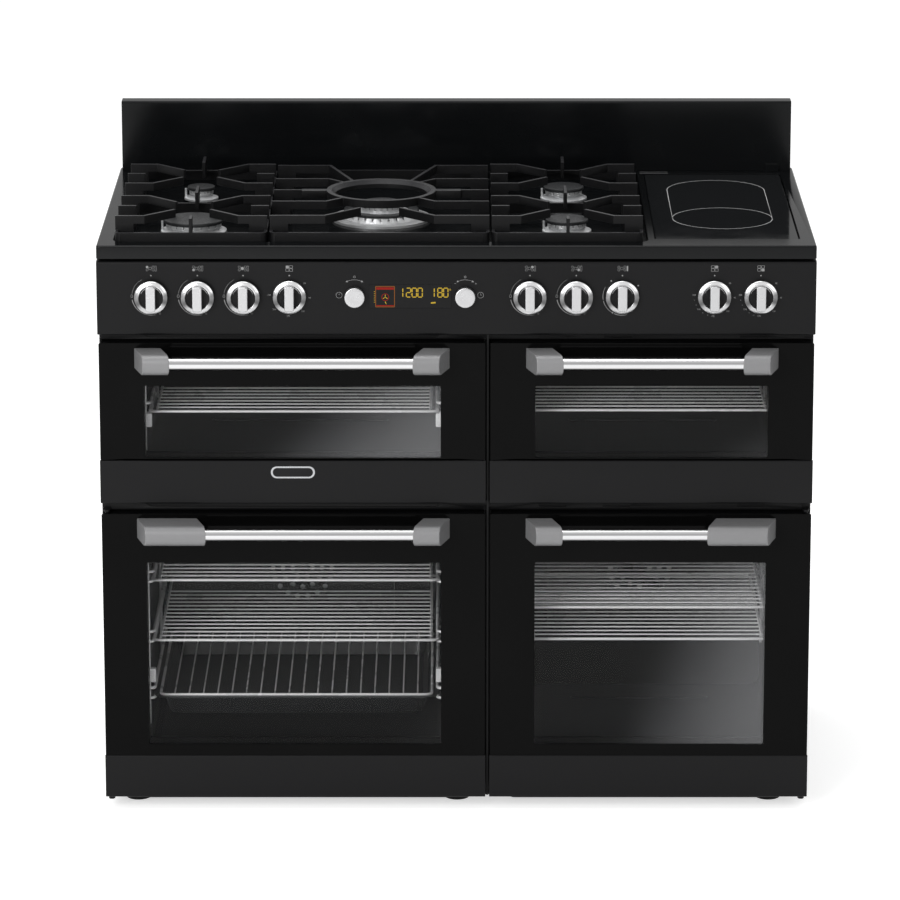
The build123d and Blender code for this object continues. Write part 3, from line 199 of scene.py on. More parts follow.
def lighter(shade, gain):
    """The same colour, lighter or darker by a gain."""
    return [min(part * gain, 1.0) for part in shade[:3]] + [1.0]


def skin(name, shade, roughness, rough=None, cover=None, grain=None, **sockets):
    """A finish whose roughness, colour and relief wander over patches of a real size in mm.

    rough: patch, lowest and highest roughness. cover: patch and the colour's two gains.
    grain: patch, detail and depth of the relief.
    """
    material, tree, shader, place = begun(name, shade, roughness, **sockets)
    if rough:
        tree.links.new(drift(tree, place, *rough), shader.inputs["Roughness"])
    if cover:
        patch_size, low, high = cover
        shades = blend_colours(tree, drift(tree, place, patch_size, 0, 1), lighter(shade, low),
                               lighter(shade, high))
        tree.links.new(shades, shader.inputs["Base Color"])
    if grain:
        patch_size, detail, depth = grain
        relief(tree, shader, drift(tree, place, patch_size, 0, 1, detail), depth)
    return material


def vitreous_enamel(name, shade, gloss):
    # Vitreous enamel, sprayed and fired: a deep gloss whose faint orange peel breaks up
    # long reflections
    return skin(name, shade, 0.14, (45, 0.13, 0.16), (70, 1, 1.15), (2.6, 1, 0.003),
                Specular_IOR_Level=gloss)


def satin_paint(name, shade, roughness=0.36):
    # Stove enamelled sheet: an even satin with a grain of about half a millimetre
    return skin(name, shade, roughness, (30, roughness - 0.01, roughness + 0.02),
                (1.1, 1, 1.25), (0.7, 1, 0.008), Specular_IOR_Level=0.14)


def printed_glass(shade):
    # Toughened float glass printed black on its back: a flat dark mirror with barely any wave
    return skin("back_printed_glass", shade, 0.03, (120, 0.02, 0.07), (160, 1, 1.5),
                (90, 1, 0.01), Specular_IOR_Level=0.05)


def window_glass(name, shade, alpha, painted_reflection):
    # Tinted glass of the window: it darkens what lies behind, with a painted reflection, a pale
    # tint in its colour that grows towards the lower right
    material, tree, shader, place = begun(name, shade, 0.03, Specular_IOR_Level=0.5, Alpha=alpha)
    across = add(tree, "ShaderNodeSeparateXYZ",
                 {"Vector": add(tree, "ShaderNodeUVMap", uv_map="window").outputs[0]})
    slope = add(tree, "ShaderNodeMath", {0: across.outputs["Y"], 1: -0.3, 2: across.outputs["X"]},
                operation="MULTIPLY_ADD")
    soft = add(tree, "ShaderNodeMapRange", {"Value": slope.outputs[0], "From Min": 0.3,
                                            "From Max": 1.0}, interpolation_type="SMOOTHSTEP")
    # Painted reflection: the base colour turns pale towards the window's lower right
    tree.links.new(blend_colours(tree, soft.outputs["Result"], shade, painted_reflection),
                   shader.inputs["Base Color"])
    tree.links.new(drift(tree, place, 90, 0.02, 0.06), shader.inputs["Roughness"])
    return material


def speckled_enamel(shade):
    # Pyrolytic oven enamel: dark grey gloss with pale flecks of about a millimetre
    material, tree, shader, place = begun("speckled_oven_enamel", shade, 0.28)
    fleck = specks(tree, place, 4.2, 0.1, 0.2, 1.0)
    ground = blend_colours(tree, drift(tree, place, 26, 0, 1), shade, lighter(shade, 1.5))
    tree.links.new(blend_colours(tree, fleck, ground, lighter(shade, 6)),
                   shader.inputs["Base Color"])
    relief(tree, shader, drift(tree, place, 3, 0, 1, 2.0), 0.02)
    return material


def cast_enamel(name, shade, grain, roughness):
    # Sand cast iron under matt enamel: a dark skin with a soft pitted grain
    return skin(name, shade, roughness, (grain * 5, roughness - 0.08, roughness + 0.08),
                (grain, 0.7, 1.5), (grain, 4, 0.09), Specular_IOR_Level=0.15)


def satin_metal(name, shade, roughness, grain=0.6, metallic=1.0):
    # Blasted and plated casting: an even grey sheen with a fine sparkle in its grain
    return skin(name, shade, roughness, (12, roughness - 0.05, roughness + 0.07),
                (grain, 0.86, 1), (grain, 2, 0.012), Metallic=metallic)


def drawn_steel(name, shade, roughness, metallic):
    # Drawn and plated wire: a bright even skin with barely any variation
    return skin(name, shade, roughness, (60, roughness - 0.03, roughness + 0.05),
                (90, 0.94, 1), Metallic=metallic)


def turned_metal(name, shade, roughness, painted_sheen, pitch):
    # Bright metal turned or drawn round an axis: its colour carries painted reflections, bands of
    # highlight and shade round the axis, over the relief of its fine turned lines
    material, tree, shader, _ = begun(name, shade, roughness, Metallic=1.0, Anisotropic=0.5)
    lathe = add(tree, "ShaderNodeUVMap", uv_map="turned")
    split = add(tree, "ShaderNodeSeparateXYZ", {"Vector": lathe.outputs["UV"]})
    bands = add(tree, "ShaderNodeValToRGB", {"Fac": split.outputs["X"]})
    bands.color_ramp.interpolation = "EASE"
    while len(bands.color_ramp.elements) < len(painted_sheen):
        bands.color_ramp.elements.new(0.5)
    for element, (share, gain) in zip(bands.color_ramp.elements, painted_sheen):
        element.position = share
        element.color = lighter(shade, gain)
    # Painted reflection: light and dark bands round the axis in the base colour
    tree.links.new(bands.outputs["Color"], shader.inputs["Base Color"])
    ring = add(tree, "ShaderNodeMath", {0: split.outputs["Y"], 1: 2 * math.pi / (pitch * MM)},
               operation="MULTIPLY")
    groove = add(tree, "ShaderNodeMath", {0: ring.outputs[0]}, operation="SINE")
    relief(tree, shader, groove.outputs[0], 0.002)
    return material


# Shares of one turn, clockwise from the top, and the gain of the painted reflection there
RING_PAINTED_SHEEN = ((0.0, 1.0), (0.17, 0.95), (0.23, 0.3), (0.3, 0.16), (0.37, 0.7), (0.5, 0.8),
              (0.6, 0.62), (0.68, 0.16), (0.76, 0.3), (0.83, 0.95), (1.0, 1.0))
TUBE_PAINTED_SHEEN = ((0.0, 0.6), (0.54, 0.1), (0.64, 0.16), (0.69, 0.95), (0.77, 1.0), (0.79, 0.66),
              (0.82, 0.7), (0.85, 1.0), (0.94, 1.0), (1.0, 0.6))


def ceramic_glass(shade, print_shade):
    # Glass-ceramic: dark and very flat, with the fine dot print that hides scratches and
    # dulls its gloss
    material, tree, shader, place = begun("glass_ceramic", shade, 0.06, Specular_IOR_Level=0.012)
    dots = specks(tree, place, 3.2, 0.16, 0.22, 0.0)
    tree.links.new(blend_colours(tree, dots, shade, print_shade), shader.inputs["Base Color"])
    tree.links.new(drift(tree, place, 60, 0.04, 0.1), shader.inputs["Roughness"])
    return material


def galvanised_sheet(shade, low, high):
    # Hot dip galvanised sheet: grey zinc with the frosty patches of its spangle, about 9 mm
    # across
    material, tree, shader, place = begun("galvanised_sheet", shade, 0.42, Metallic=0.9)
    spangle = add(tree, "ShaderNodeTexVoronoi", {"Vector": place, "Scale": 1 / (9 * MM),
                                                 "Randomness": 1.0})
    grey = add(tree, "ShaderNodeSeparateColor", {"Color": spangle.outputs["Color"]})
    tree.links.new(blend_colours(tree, grey.outputs[0], low, high), shader.inputs["Base Color"])
    rough = add(tree, "ShaderNodeMapRange", {"Value": grey.outputs[1], "To Min": 0.38,
                                             "To Max": 0.48})
    tree.links.new(rough.outputs["Result"], shader.inputs["Roughness"])
    return material


def moulded(name, shade, roughness, grain=0.8):
    # Moulded plastic or rubber: a soft dull skin with the fine texture of its mould
    return skin(name, shade, roughness, (20, roughness - 0.06, roughness + 0.06), (9, 1, 1.4),
                (grain, 2, 0.02), Specular_IOR_Level=0.15)


def screen_ink(name, shade):
    # Screen printed ink: flat and slightly uneven in cover
    return skin(name, shade, 0.5, cover=(0.9, 0.8, 1), Specular_IOR_Level=0.2)


def lit_segment(name, shade, strength):
    # Lit film of the display: an even glow through a printed mask
    material, tree, shader, place = begun(name, lighter(shade, 0.1), 0.4,
                                          Emission_Strength=strength, Specular_IOR_Level=0.1)
    glow = blend_colours(tree, drift(tree, place, 1.5, 0, 1), lighter(shade, 0.8), shade)
    tree.links.new(glow, shader.inputs["Emission Color"])
    return material


FINISHES = {}


def finishes(context):
    """Every finish of the cooker by its plain name, made once."""
    if FINISHES:
        return FINISHES
    shades = context.scene.cooker_colours
    FINISHES.update({
        "enamel": vitreous_enamel("vitreous_enamel", shades.enamel, 0.14),
        "enamel_front": vitreous_enamel("vitreous_enamel_skirt", shades.enamel, 0.16),
        "enamel_top": vitreous_enamel("vitreous_enamel_rim", shades.enamel, 0.018),
        "paint": satin_paint("satin_black_paint", shades.paint),
        "side_paint": satin_paint("side_panel_paint", lighter(shades.paint, 0.9), 0.42),
        "black_glass": printed_glass(shades.glass),
        # The pale colour is the window's painted reflection
        "window": window_glass("smoked_window_glass", shades.smoke, 0.08, tone("#dcdde0")),
        "inner_glass": window_glass("clear_inner_glass", shades.smoke, 0.04, tone("#101112")),
        "oven": speckled_enamel(shades.oven),
        "iron": cast_enamel("enamelled_cast_iron", shades.iron, 0.9, 0.42),
        # Painted highlight: the supports' upward faces are four times lighter than the iron
        "iron_top": cast_enamel("cast_iron_rubbed_by_pans", lighter(shades.iron, 4), 0.9, 0.34),
        "cap": cast_enamel("burner_cap_enamel", shades.cap, 0.7, 0.4),
        "casting": satin_metal("burner_aluminium_casting", shades.casting, 0.36, 0.6, 0.7),
        "block": satin_metal("plated_handle_casting", shades.handle, 0.45, 0.5, 0.3),
        # The handle tube and the knob rings carry painted reflections as bands in their colour
        "tube": turned_metal("polished_handle_tube", shades.tube, 0.14, TUBE_PAINTED_SHEEN, 40),
        "rack": drawn_steel("chromed_rack_wire", tone("#f8f8f9"), 0.28, 0.2),
        "chrome": turned_metal("turned_bright_metal", shades.chrome, 0.2, RING_PAINTED_SHEEN, 0.25),
        "grip": satin_metal("satin_knob_metal", shades.grip, 0.3, 0.3),
        "dish": moulded("knob_dish_plastic", tone("#101011"), 0.35),
        "ceramic": ceramic_glass(tone("#151617"), tone("#1f2022")),
        "zinc": galvanised_sheet(tone("#8b8e91"), tone("#86898c"), tone("#96999c")),
        "rubber": moulded("door_seal_rubber", tone("#1a1a1a"), 0.75),
        "plastic": moulded("foot_plastic", tone("#161616"), 0.5),
        "element": satin_metal("oxidised_element_sheath", tone("#2e2b29"), 0.5, 0.8, 0.6),
        "fan": satin_metal("aluminised_fan_sheet", tone("#d4d5d7"), 0.4, 0.6, 0.3),
        "steel": satin_metal("zinc_plated_steel", tone("#9b9da0"), 0.3, 0.5),
        "ink": screen_ink("screen_printed_ink", shades.ink),
        "zone_ink": screen_ink("fired_zone_print", tone("#d2d2d2")),
        "screw": satin_metal("blackened_screw_steel", tone("#2b2c2e"), 0.4, 0.5),
        "display": moulded("display_window_acrylic", tone("#060607"), 0.08, 40),
        "amber": lit_segment("amber_display_film", shades.amber, 0.9),
        "red": lit_segment("red_display_film", shades.red, 0.9),
        "orange": lit_segment("orange_display_film", tone("#9a5a24"), 0.8),
        "badge": satin_metal("bare_badge_plate", tone("#a9aaac"), 0.28, 0.4),
    })
    return FINISHES


# Mesh helpers


def linked(name, data):
    """Put a mesh, curve, light or camera in the scene as an object."""
    item = bpy.data.objects.new(name, data)
    bpy.context.scene.collection.objects.link(item)
    return item


def evaluated(item):
    """Turn an object into the plain mesh that its modifiers make."""
    bpy.context.view_layer.update()
    graph = bpy.context.evaluated_depsgraph_get()
    mesh = bpy.data.meshes.new_from_object(item.evaluated_get(graph))
    bpy.data.objects.remove(item)
    return mesh


def piece(name, mesh, body, slot, *materials, replaces=()):
    """Link a finished mesh as a piece of the cooker that rides on a body."""
    for material in materials:
        mesh.materials.append(material)
    item = linked(name, mesh)
    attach(item, body)
    if replaces:
        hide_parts(*replaces)
    return item


def shaded(shape, name, sharp=35):
    """Turn a bmesh into a mesh that is smooth but for edges sharper than an angle."""
    bmesh.ops.remove_doubles(shape, verts=shape.verts, dist=0.002 * MM)
    bmesh.ops.recalc_face_normals(shape, faces=shape.faces)
    mesh = bpy.data.meshes.new(name)
    shape.to_mesh(mesh)
    shape.free()
    mesh.polygons.foreach_set("use_smooth", [True] * len(mesh.polygons))
    mesh.set_sharp_from_angle(angle=math.radians(sharp))
    return mesh


def eased(shape, name, width, segments=2, sharp=35):
    """Turn a bmesh into a mesh with its sharp edges rounded by a width."""
    item = linked(name, shaded(shape, name, sharp))
    bevel = item.modifiers.new("edges", "BEVEL")
    bevel.width = width
    bevel.segments = segments
    bevel.limit_method = "ANGLE"
    bevel.angle_limit = math.radians(32)
    bevel.harden_normals = True
    bevel.use_clamp_overlap = True
    bevel.miter_outer = "MITER_ARC"
    return levelled(evaluated(item))


def levelled(mesh):
    """Straighten the few tilted corner normals of large flat faces, which shade a long streak."""
    normals = [corner.vector.copy() for corner in mesh.corner_normals]
    for face in mesh.polygons:
        if face.loop_total > 6:
            level = sum(normals[loop].dot(face.normal) > 0.99999 for loop in face.loop_indices)
            if level > face.loop_total / 2:
                for loop in face.loop_indices:
                    normals[loop] = face.normal.copy()
    mesh.normals_split_custom_set(normals)
    return mesh


def inked(shape, name, back):
    """Give flat ink its thickness, back towards the surface that carries it."""
    made = bmesh.ops.extrude_face_region(shape, geom=list(shape.faces), use_keep_orig=True)["geom"]
    ends = [end for end in made if isinstance(end, bmesh.types.BMVert)]
    bmesh.ops.translate(shape, verts=ends, vec=back)
    return shaded(shape, name)


def dressed(node, slot, material, width, second=None, chooses=None, lift=None):
    """Replace a node by a copy of its solid with eased edges.

    Faces that the chooser picks take the second finish, and lift raises points by its measure.
    """
    shape = bmesh.new()
    shape.from_mesh(frame["nodes"][node].data)
    bmesh.ops.remove_doubles(shape, verts=shape.verts, dist=0.004 * MM)
    bmesh.ops.dissolve_limit(shape, angle_limit=math.radians(0.6), verts=shape.verts,
                             edges=shape.edges)
    if lift:
        for vertex in shape.verts:
            vertex.co.z += lift(vertex.co)
    mesh = eased(shape, node + "_shape", width)
    mesh.materials.clear()
    materials = [material]
    if second:
        materials.append(second)
        for face in mesh.polygons:
            face.material_index = int(chooses(face))
    body = frame["nodes"][node]["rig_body"]
    return piece(node + "_finished", mesh, body, slot, *materials, replaces=[node])


def is_top(face):
    """Does this face look up?"""
    return face.normal.z > 0.7


def coated(node, material):
    """Give a node that keeps its own mesh a finish."""
    item = frame["nodes"][node]
    item.data.materials.clear()
    item.data.materials.append(material)


def walled(shape, near, far):
    """Join two rings of points by a wall of faces."""
    for here in range(len(near)):
        there = (here + 1) % len(near)
        shape.faces.new((near[here], near[there], far[there], far[here]))


def prism(shape, outline, plane, low, high):
    """Add a closed block: an outline of (a, b) points on a plane, from one height to another."""
    near, far = [[shape.verts.new(plane @ Vector((a, b, height))) for a, b in outline]
                 for height in (low, high)]
    shape.faces.new(near[::-1])
    shape.faces.new(far)
    walled(shape, near, far)


def arc(cx, cz, radius, start, end, steps):
    """Points of an arc in degrees, anticlockwise where end is past start."""
    turns = [math.radians(start + (end - start) * n / steps) for n in range(steps + 1)]
    return [(cx + radius * math.cos(turn), cz + radius * math.sin(turn)) for turn in turns]


def rounded(x0, x1, z0, z1, radius, steps=6):
    """The points of a rectangle with rounded corners, anticlockwise."""
    corners = ((x1 - radius, z1 - radius, 0), (x0 + radius, z1 - radius, 90),
               (x0 + radius, z0 + radius, 180), (x1 - radius, z0 + radius, 270))
    return [point for cx, cz, start in corners
            for point in arc(cx, cz, radius, start, start + 90, steps)]


def turned(shape, profile, plane, steps=96, material=0):
    """Add a lathe-turned form: (radius, height) points about a plane's axis, its turns as UV."""
    layer = shape.loops.layers.uv.get("turned") or shape.loops.layers.uv.new("turned")
    travel = [0.0]
    for (r0, h0), (r1, h1) in zip(profile, profile[1:]):
        travel.append(travel[-1] + math.hypot(r1 - r0, h1 - h0))
    turns = [2 * math.pi * n / steps for n in range(steps)]
    rows = [[shape.verts.new(plane @ Vector((radius * math.sin(turn), radius * math.cos(turn),
                                             height)))
             for turn in (turns if radius else turns[:1])] for radius, height in profile]
    for row, (near, far) in enumerate(zip(rows, rows[1:])):
        for n in range(steps):
            corners = {}
            for ring, turn, height in ((near, n, row), (near, n + 1, row), (far, n + 1, row + 1),
                                       (far, n, row + 1)):
                corners.setdefault(ring[turn % steps % len(ring)], (turn / steps, travel[height]))
            if len(corners) > 2:
                face = shape.faces.new(list(corners))
                face.material_index = material
                for loop in face.loops:
                    loop[layer].uv = corners[loop.vert]


def facing_front(x, y, z):
    """A plane that faces the user: its X to the right, its Y up and its Z towards the front."""
    return Matrix(((1, 0, 0, x), (0, 0, -1, y), (0, 1, 0, z), (0, 0, 0, 1)))


def facing_up(z):
    """A plane that faces up at a height, with its X to the right."""
    return Matrix.Translation((0, 0, z))


def along_x(x, y, z):
    """A plane whose axis runs to the right."""
    return Matrix(((0, 0, 1, x), (1, 0, 0, y), (0, 1, 0, z), (0, 0, 0, 1)))


def middle(node):
    """The middle of a node's box."""
    low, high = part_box(node)
    return (low + high) / 2


# Geometry Nodes


def new_tree(name, sockets):
    """A geometry node tree with named inputs, its group input and group output."""
    tree = bpy.data.node_groups.new(name, "GeometryNodeTree")
    for way in ("OUTPUT", "INPUT"):
        tree.interface.new_socket("Geometry", in_out=way, socket_type="NodeSocketGeometry")
    for label, kind, value in sockets:
        socket = tree.interface.new_socket(label, in_out="INPUT", socket_type="NodeSocket" + kind)
        if value is not None:
            socket.default_value = value
    return tree, add(tree, "NodeGroupInput").outputs


def repeated(tree, given, item, start, turn=None, smooth=False):
    """End a tree: repeat an item in even steps, make it real and give it its finish."""
    spots = add(tree, "GeometryNodeMeshLine", {"Count": given["Count"], "Start Location": start,
                                               "Offset": given["Step"]})
    placing = {"Points": spots.outputs[0], "Instance": item}
    if turn:
        placing["Rotation"] = turn
    copies = add(tree, "GeometryNodeInstanceOnPoints", placing)
    solid = add(tree, "GeometryNodeRealizeInstances", {"Geometry": copies.outputs[0]})
    if smooth:
        solid = add(tree, "GeometryNodeSetShadeSmooth", {"Geometry": solid.outputs[0]})
    finish = add(tree, "GeometryNodeSetMaterial", {"Geometry": solid.outputs[0],
                                                   "Material": given["Finish"]})
    add(tree, "NodeGroupOutput", {0: finish.outputs[0]})
    return tree


def wire_tree():
    """Bend a wire along its path and repeat it in even steps: rack wires and ladders."""
    if "repeated_wire" in bpy.data.node_groups:
        return bpy.data.node_groups["repeated_wire"]
    tree, given = new_tree("repeated_wire", (
        ("Bend radius", "Float", 0.0), ("Wire radius", "Float", 0.002), ("Count", "Int", 1),
        ("Step", "Vector", (0.0, 0.0, 0.0)), ("Finish", "Material", None)))
    bent = add(tree, "GeometryNodeFilletCurve",
               {"Curve": given["Geometry"], "Radius": given["Bend radius"], "Count": 5,
                "Limit Radius": True}, mode="POLY")
    section = add(tree, "GeometryNodeCurvePrimitiveCircle", {"Resolution": 10,
                                                             "Radius": given["Wire radius"]})
    wire = add(tree, "GeometryNodeCurveToMesh",
               {"Curve": bent.outputs[0], "Profile Curve": section.outputs[0], "Fill Caps": True})
    return repeated(tree, given, wire.outputs[0], (0.0, 0.0, 0.0), smooth=True)


def screw_tree():
    """Repeat a domed screw head with a sunk hexagonal drive in even steps."""
    if "screw_row" in bpy.data.node_groups:
        return bpy.data.node_groups["screw_row"]
    tree, given = new_tree("screw_row", (
        ("Head radius", "Float", 0.0034), ("Head height", "Float", 0.0016), ("Count", "Int", 1),
        ("Start", "Vector", (0.0, 0.0, 0.0)), ("Step", "Vector", (0.0, 0.0, 0.0)),
        ("Turn", "Vector", (0.0, 0.0, 0.0)), ("Finish", "Material", None)))
    top, socket = [add(tree, "ShaderNodeMath", {0: given["Head radius"], 1: share},
                       operation="MULTIPLY").outputs[0] for share in (0.62, 0.38)]
    head, drive = [add(tree, "GeometryNodeMeshCone",
                       {"Vertices": sides, "Radius Top": narrow, "Radius Bottom": wide,
                        "Depth": given["Head height"]}).outputs["Mesh"]
                   for sides, narrow, wide in ((24, top, given["Head radius"]),
                                               (6, socket, socket))]
    lift = add(tree, "ShaderNodeCombineXYZ", {"Z": given["Head height"]})
    sunk = add(tree, "ShaderNodeVectorMath", {0: lift.outputs[0], 1: (0.6, 0.6, 0.6)},
               operation="MULTIPLY")
    raised = add(tree, "GeometryNodeTransform", {"Geometry": drive,
                                                 "Translation": sunk.outputs[0]})
    hollow = add(tree, "GeometryNodeMeshBoolean", {"Mesh 1": head, "Mesh 2": raised.outputs[0]},
                 operation="DIFFERENCE")
    turn = add(tree, "FunctionNodeEulerToRotation", {"Euler": given["Turn"]})
    return repeated(tree, given, hollow.outputs[0], given["Start"], turn.outputs[0])


def grown(tree, path, **values):
    """Run a tree on a path of points and return the plain mesh that it makes."""
    curve = bpy.data.curves.new("path", "CURVE")
    curve.dimensions = "3D"
    spline = curve.splines.new("POLY")
    spline.points.add(len(path) - 1)
    for point, place in zip(spline.points, path):
        point.co = (*place, 1.0)
    item = linked("path", curve)
    modifier = item.modifiers.new("nodes", "NODES")
    modifier.node_group = tree
    for socket in tree.interface.items_tree:
        label = socket.name.replace(" ", "_")
        if socket.in_out == "INPUT" and label in values:
            modifier[socket.identifier] = values[label]
    mesh = evaluated(item)
    bpy.data.curves.remove(curve)
    return mesh


def joined(name, meshes):
    """Join plain meshes of one finish into one mesh without a finish."""
    shape = bmesh.new()
    for mesh in meshes:
        shape.from_mesh(mesh)
        bpy.data.meshes.remove(mesh)
    for face in shape.faces:
        face.material_index = 0
    mesh = bpy.data.meshes.new(name)
    shape.to_mesh(mesh)
    shape.free()
    return mesh


def wires(path, radius, finish, bend=0.0, count=1, step=(0.0, 0.0, 0.0)):
    """Repeated wires along a path given in metres."""
    return grown(wire_tree(), path, Bend_radius=bend, Wire_radius=radius, Count=count, Step=step,
                 Finish=finish)


# The hob and its back


class COOKER_OT_hob(bpy.types.Operator):
    """Dress the hob pressing, the splashback and the ceramic plate"""
    bl_idname = "cooker.hob"
    bl_label = "Hob and splashback"

    def execute(self, context):
        made = finishes(context)
        sizes = context.scene.cooker_sizes
        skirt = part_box("hob_top")[0].y + 3 * MM
        hob = dressed("hob_top", "black_enamel", made["enamel"], sizes.edge, made["enamel_top"],
                      is_top)
        hob.data.materials.append(made["enamel_front"])
        for face in hob.data.polygons:
            if face.center.y < skirt and face.normal.z < 0.9:
                face.material_index = 2
        dressed("splashback", "black_enamel", made["enamel"], sizes.edge * 0.8,
                made["enamel_top"], is_top)
        plate = dressed("ceramic_plate", "ceramic_glass", made["ceramic"], sizes.edge * 0.3)
        centre = middle("ceramic_plate")
        for vertex in plate.data.vertices:
            for axis in (0, 1):
                vertex.co[axis] += math.copysign(sizes.plate_gap, centre[axis] - vertex.co[axis])
        self.zone_print(made)
        self.steam_slots(made)
        return {"FINISHED"}

    def zone_print(self, made):
        """Draw the two heating zones on the plate: a circle, and an oval that shares its middle."""
        low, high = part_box("ceramic_plate")
        centre_x = (low.x + high.x) / 2
        near_y = low.y + 157 * MM
        far_y = near_y + 214 * MM
        radius, line, lift = 78 * MM, 0.8 * MM, 0.05 * MM
        plane = facing_up(high.z + lift)
        shape = bmesh.new()
        hoop(shape, centre_x, near_y, radius, line, plane, 96)
        oval = [(centre_x - radius, near_y), *arc(centre_x, far_y, radius, 180, 0, 40),
                (centre_x + radius, near_y)]
        strip(shape, oval, line, plane)
        piece("ceramic_zone_print", inked(shape, "zone_print", (0, 0, -lift)), "root",
              "ceramic_glass", made["zone_ink"])

    def steam_slots(self, made):
        """Stamp pairs of steam slots into the rim behind the ceramic plate's left corner."""
        plate_low, plate_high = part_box("ceramic_plate")
        plane = facing_up(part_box("hob_top")[1].z)
        long, deep, corner = 46 * MM, 2 * MM, 0.9 * MM
        shape = bmesh.new()
        for row, column in ((0, 0), (1, 0), (0, 1), (1, 1)):
            x = plate_low.x - (6 + column * 56) * MM
            y = plate_high.y + (3.5 + row * 10.5) * MM
            prism(shape, rounded(x, x + long, y, y + deep, corner), plane, -0.02 * MM, 0.05 * MM)
        piece("hob_steam_slots", shaded(shape, "steam_slots"), "root", "black_enamel",
              made["block"])


def strip(shape, points, width, plane, closed=False, end_width=None):
    """Add a thin flat line of ink along points, of one width or tapering to another."""
    end_width = width if end_width is None else end_width
    count = len(points)
    sides = []
    for n, point in enumerate(points):
        before = points[n - 1] if closed or n else point
        after = points[(n + 1) % count] if closed or n < count - 1 else point
        along = Vector(after) - Vector(before)
        across = Vector((-along.y, along.x)).normalized()
        half = (width + (end_width - width) * n / max(count - 1, 1)) / 2
        sides.append([shape.verts.new(plane @ Vector((point[0] + across.x * half * side,
                                                      point[1] + across.y * half * side, 0)))
                      for side in (-1, 1)])
    for n in range(count if closed else count - 1):
        near, far = sides[n], sides[(n + 1) % count]
        shape.faces.new((near[0], far[0], far[1], near[1]))


def hoop(shape, x, z, radius, width, plane, steps=24):
    """Add a thin ring of ink."""
    strip(shape, arc(x, z, radius, 0, 360, steps)[:-1], width, plane, True)


def patch(shape, points, plane):
    """Add a filled flat shape of ink."""
    shape.faces.new([shape.verts.new(plane @ Vector((x, z, 0))) for x, z in points])


def dot(shape, plane, x, z, radius):
    """Add a filled round dot of ink."""
    patch(shape, arc(x, z, radius, 0, 360, 24)[:-1], plane)


# Burners and pan supports


class COOKER_OT_burners(bpy.types.Operator):
    """Dress the burner heads and caps, with the plain burners' crowns raised"""
    bl_idname = "cooker.burners"
    bl_label = "Burners"

    def execute(self, context):
        made = finishes(context)
        sizes = context.scene.cooker_sizes
        wok_x = middle("gas_knob_wok").x + 200 * MM
        wok_reach = 100 * MM
        skirt_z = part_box("burner_heads")[0].z + 6 * MM

        def raised(place):
            """The lift of a point: none on the wok burner and on the heads' lower skirts."""
            plain = abs(place.x - wok_x) > wok_reach
            return sizes.crown_lift if plain and place.z > skirt_z else 0

        for node, slot, finish in (("burner_heads", "burner_aluminium", "casting"),
                                   ("burner_caps", "black_enamel", "cap")):
            dressed(node, slot, made[finish], sizes.edge * 0.4, lift=raised)
        return {"FINISHED"}


class COOKER_OT_pan_supports(bpy.types.Operator):
    """Dress the three cast iron pan supports with soft cast edges and a painted highlight on their
    tops
    """
    bl_idname = "cooker.pan_supports"
    bl_label = "Pan supports"

    def execute(self, context):
        made = finishes(context)
        for side in SUPPORTS:
            # Faces that look up take the painted highlight
            dressed("pan_support_" + side, "cast_iron", made["iron"],
                    context.scene.cooker_sizes.cast_edge, made["iron_top"], is_top)
        return {"FINISHED"}


# Sheet metal


class COOKER_OT_sheet_metal(bpy.types.Operator):
    """Dress the chassis, the casing and the control panel"""
    bl_idname = "cooker.sheet_metal"
    bl_label = "Chassis, casing and panel"

    def execute(self, context):
        made = finishes(context)
        sizes = context.scene.cooker_sizes
        dressed("control_panel", "black_enamel", made["paint"], sizes.edge)
        dressed("chassis", "black_paint", made["paint"], sizes.edge * 0.6)
        rear_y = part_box("outer_casing")[0].y + 500 * MM
        dressed("outer_casing", "black_paint", made["side_paint"], sizes.edge * 0.6,
                made["zinc"], lambda face: face.center.y > rear_y)
        self.screws(sizes.screw, made["screw"])
        self.base_lip(made)
        return {"FINISHED"}

    def base_lip(self, made):
        """Fold a lip down from the chassis under the doors, lower under each door than between:
        part plinth, part dark sheet that paints the shade under the cooker.
        """
        foot, fold = 6 * MM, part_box("chassis")[0].z + 0.5 * MM
        raised = foot + 5 * MM
        outline = ((-519, fold), (-513, foot), (10, foot), (16, raised), (82, raised), (88, foot),
                   (502, foot), (508, fold))
        shape = bmesh.new()
        # Partly a real fold, partly a dark sheet painting the shade where the floor under the
        # cooker would show
        prism(shape, [(x * MM, z) for x, z in outline],
              facing_front(0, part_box("outer_casing")[0].y, 0), -2 * MM, 0)
        piece("base_lip", shaded(shape, "base_lip"), "root", "black_paint", made["side_paint"])

    def screws(self, radius, finish):
        """Screw the back panel down along its four edges."""
        low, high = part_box("outer_casing")
        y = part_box("chassis")[1].y + 2.7 * MM
        across = ((high.x - low.x - 40 * MM) / 7, 0, 0)
        up = (0, 0, (high.z - low.z - 260 * MM) / 4)
        rows = [(8, (low.x + 20 * MM, y, z), across) for z in (low.z + 12 * MM, high.z - 12 * MM)]
        rows += [(5, (x, y, low.z + 130 * MM), up) for x in (low.x + 9 * MM, high.x - 9 * MM)]
        meshes = [grown(screw_tree(), [(0, 0, 0), (0, 0, 0.001)], Head_radius=radius, Count=count,
                        Start=start, Step=step, Turn=(-math.pi / 2, 0, 0), Finish=finish)
                  for count, start, step in rows]
        piece("back_panel_screws", joined("back_panel_screws", meshes), "root", "galvanised",
              finish)


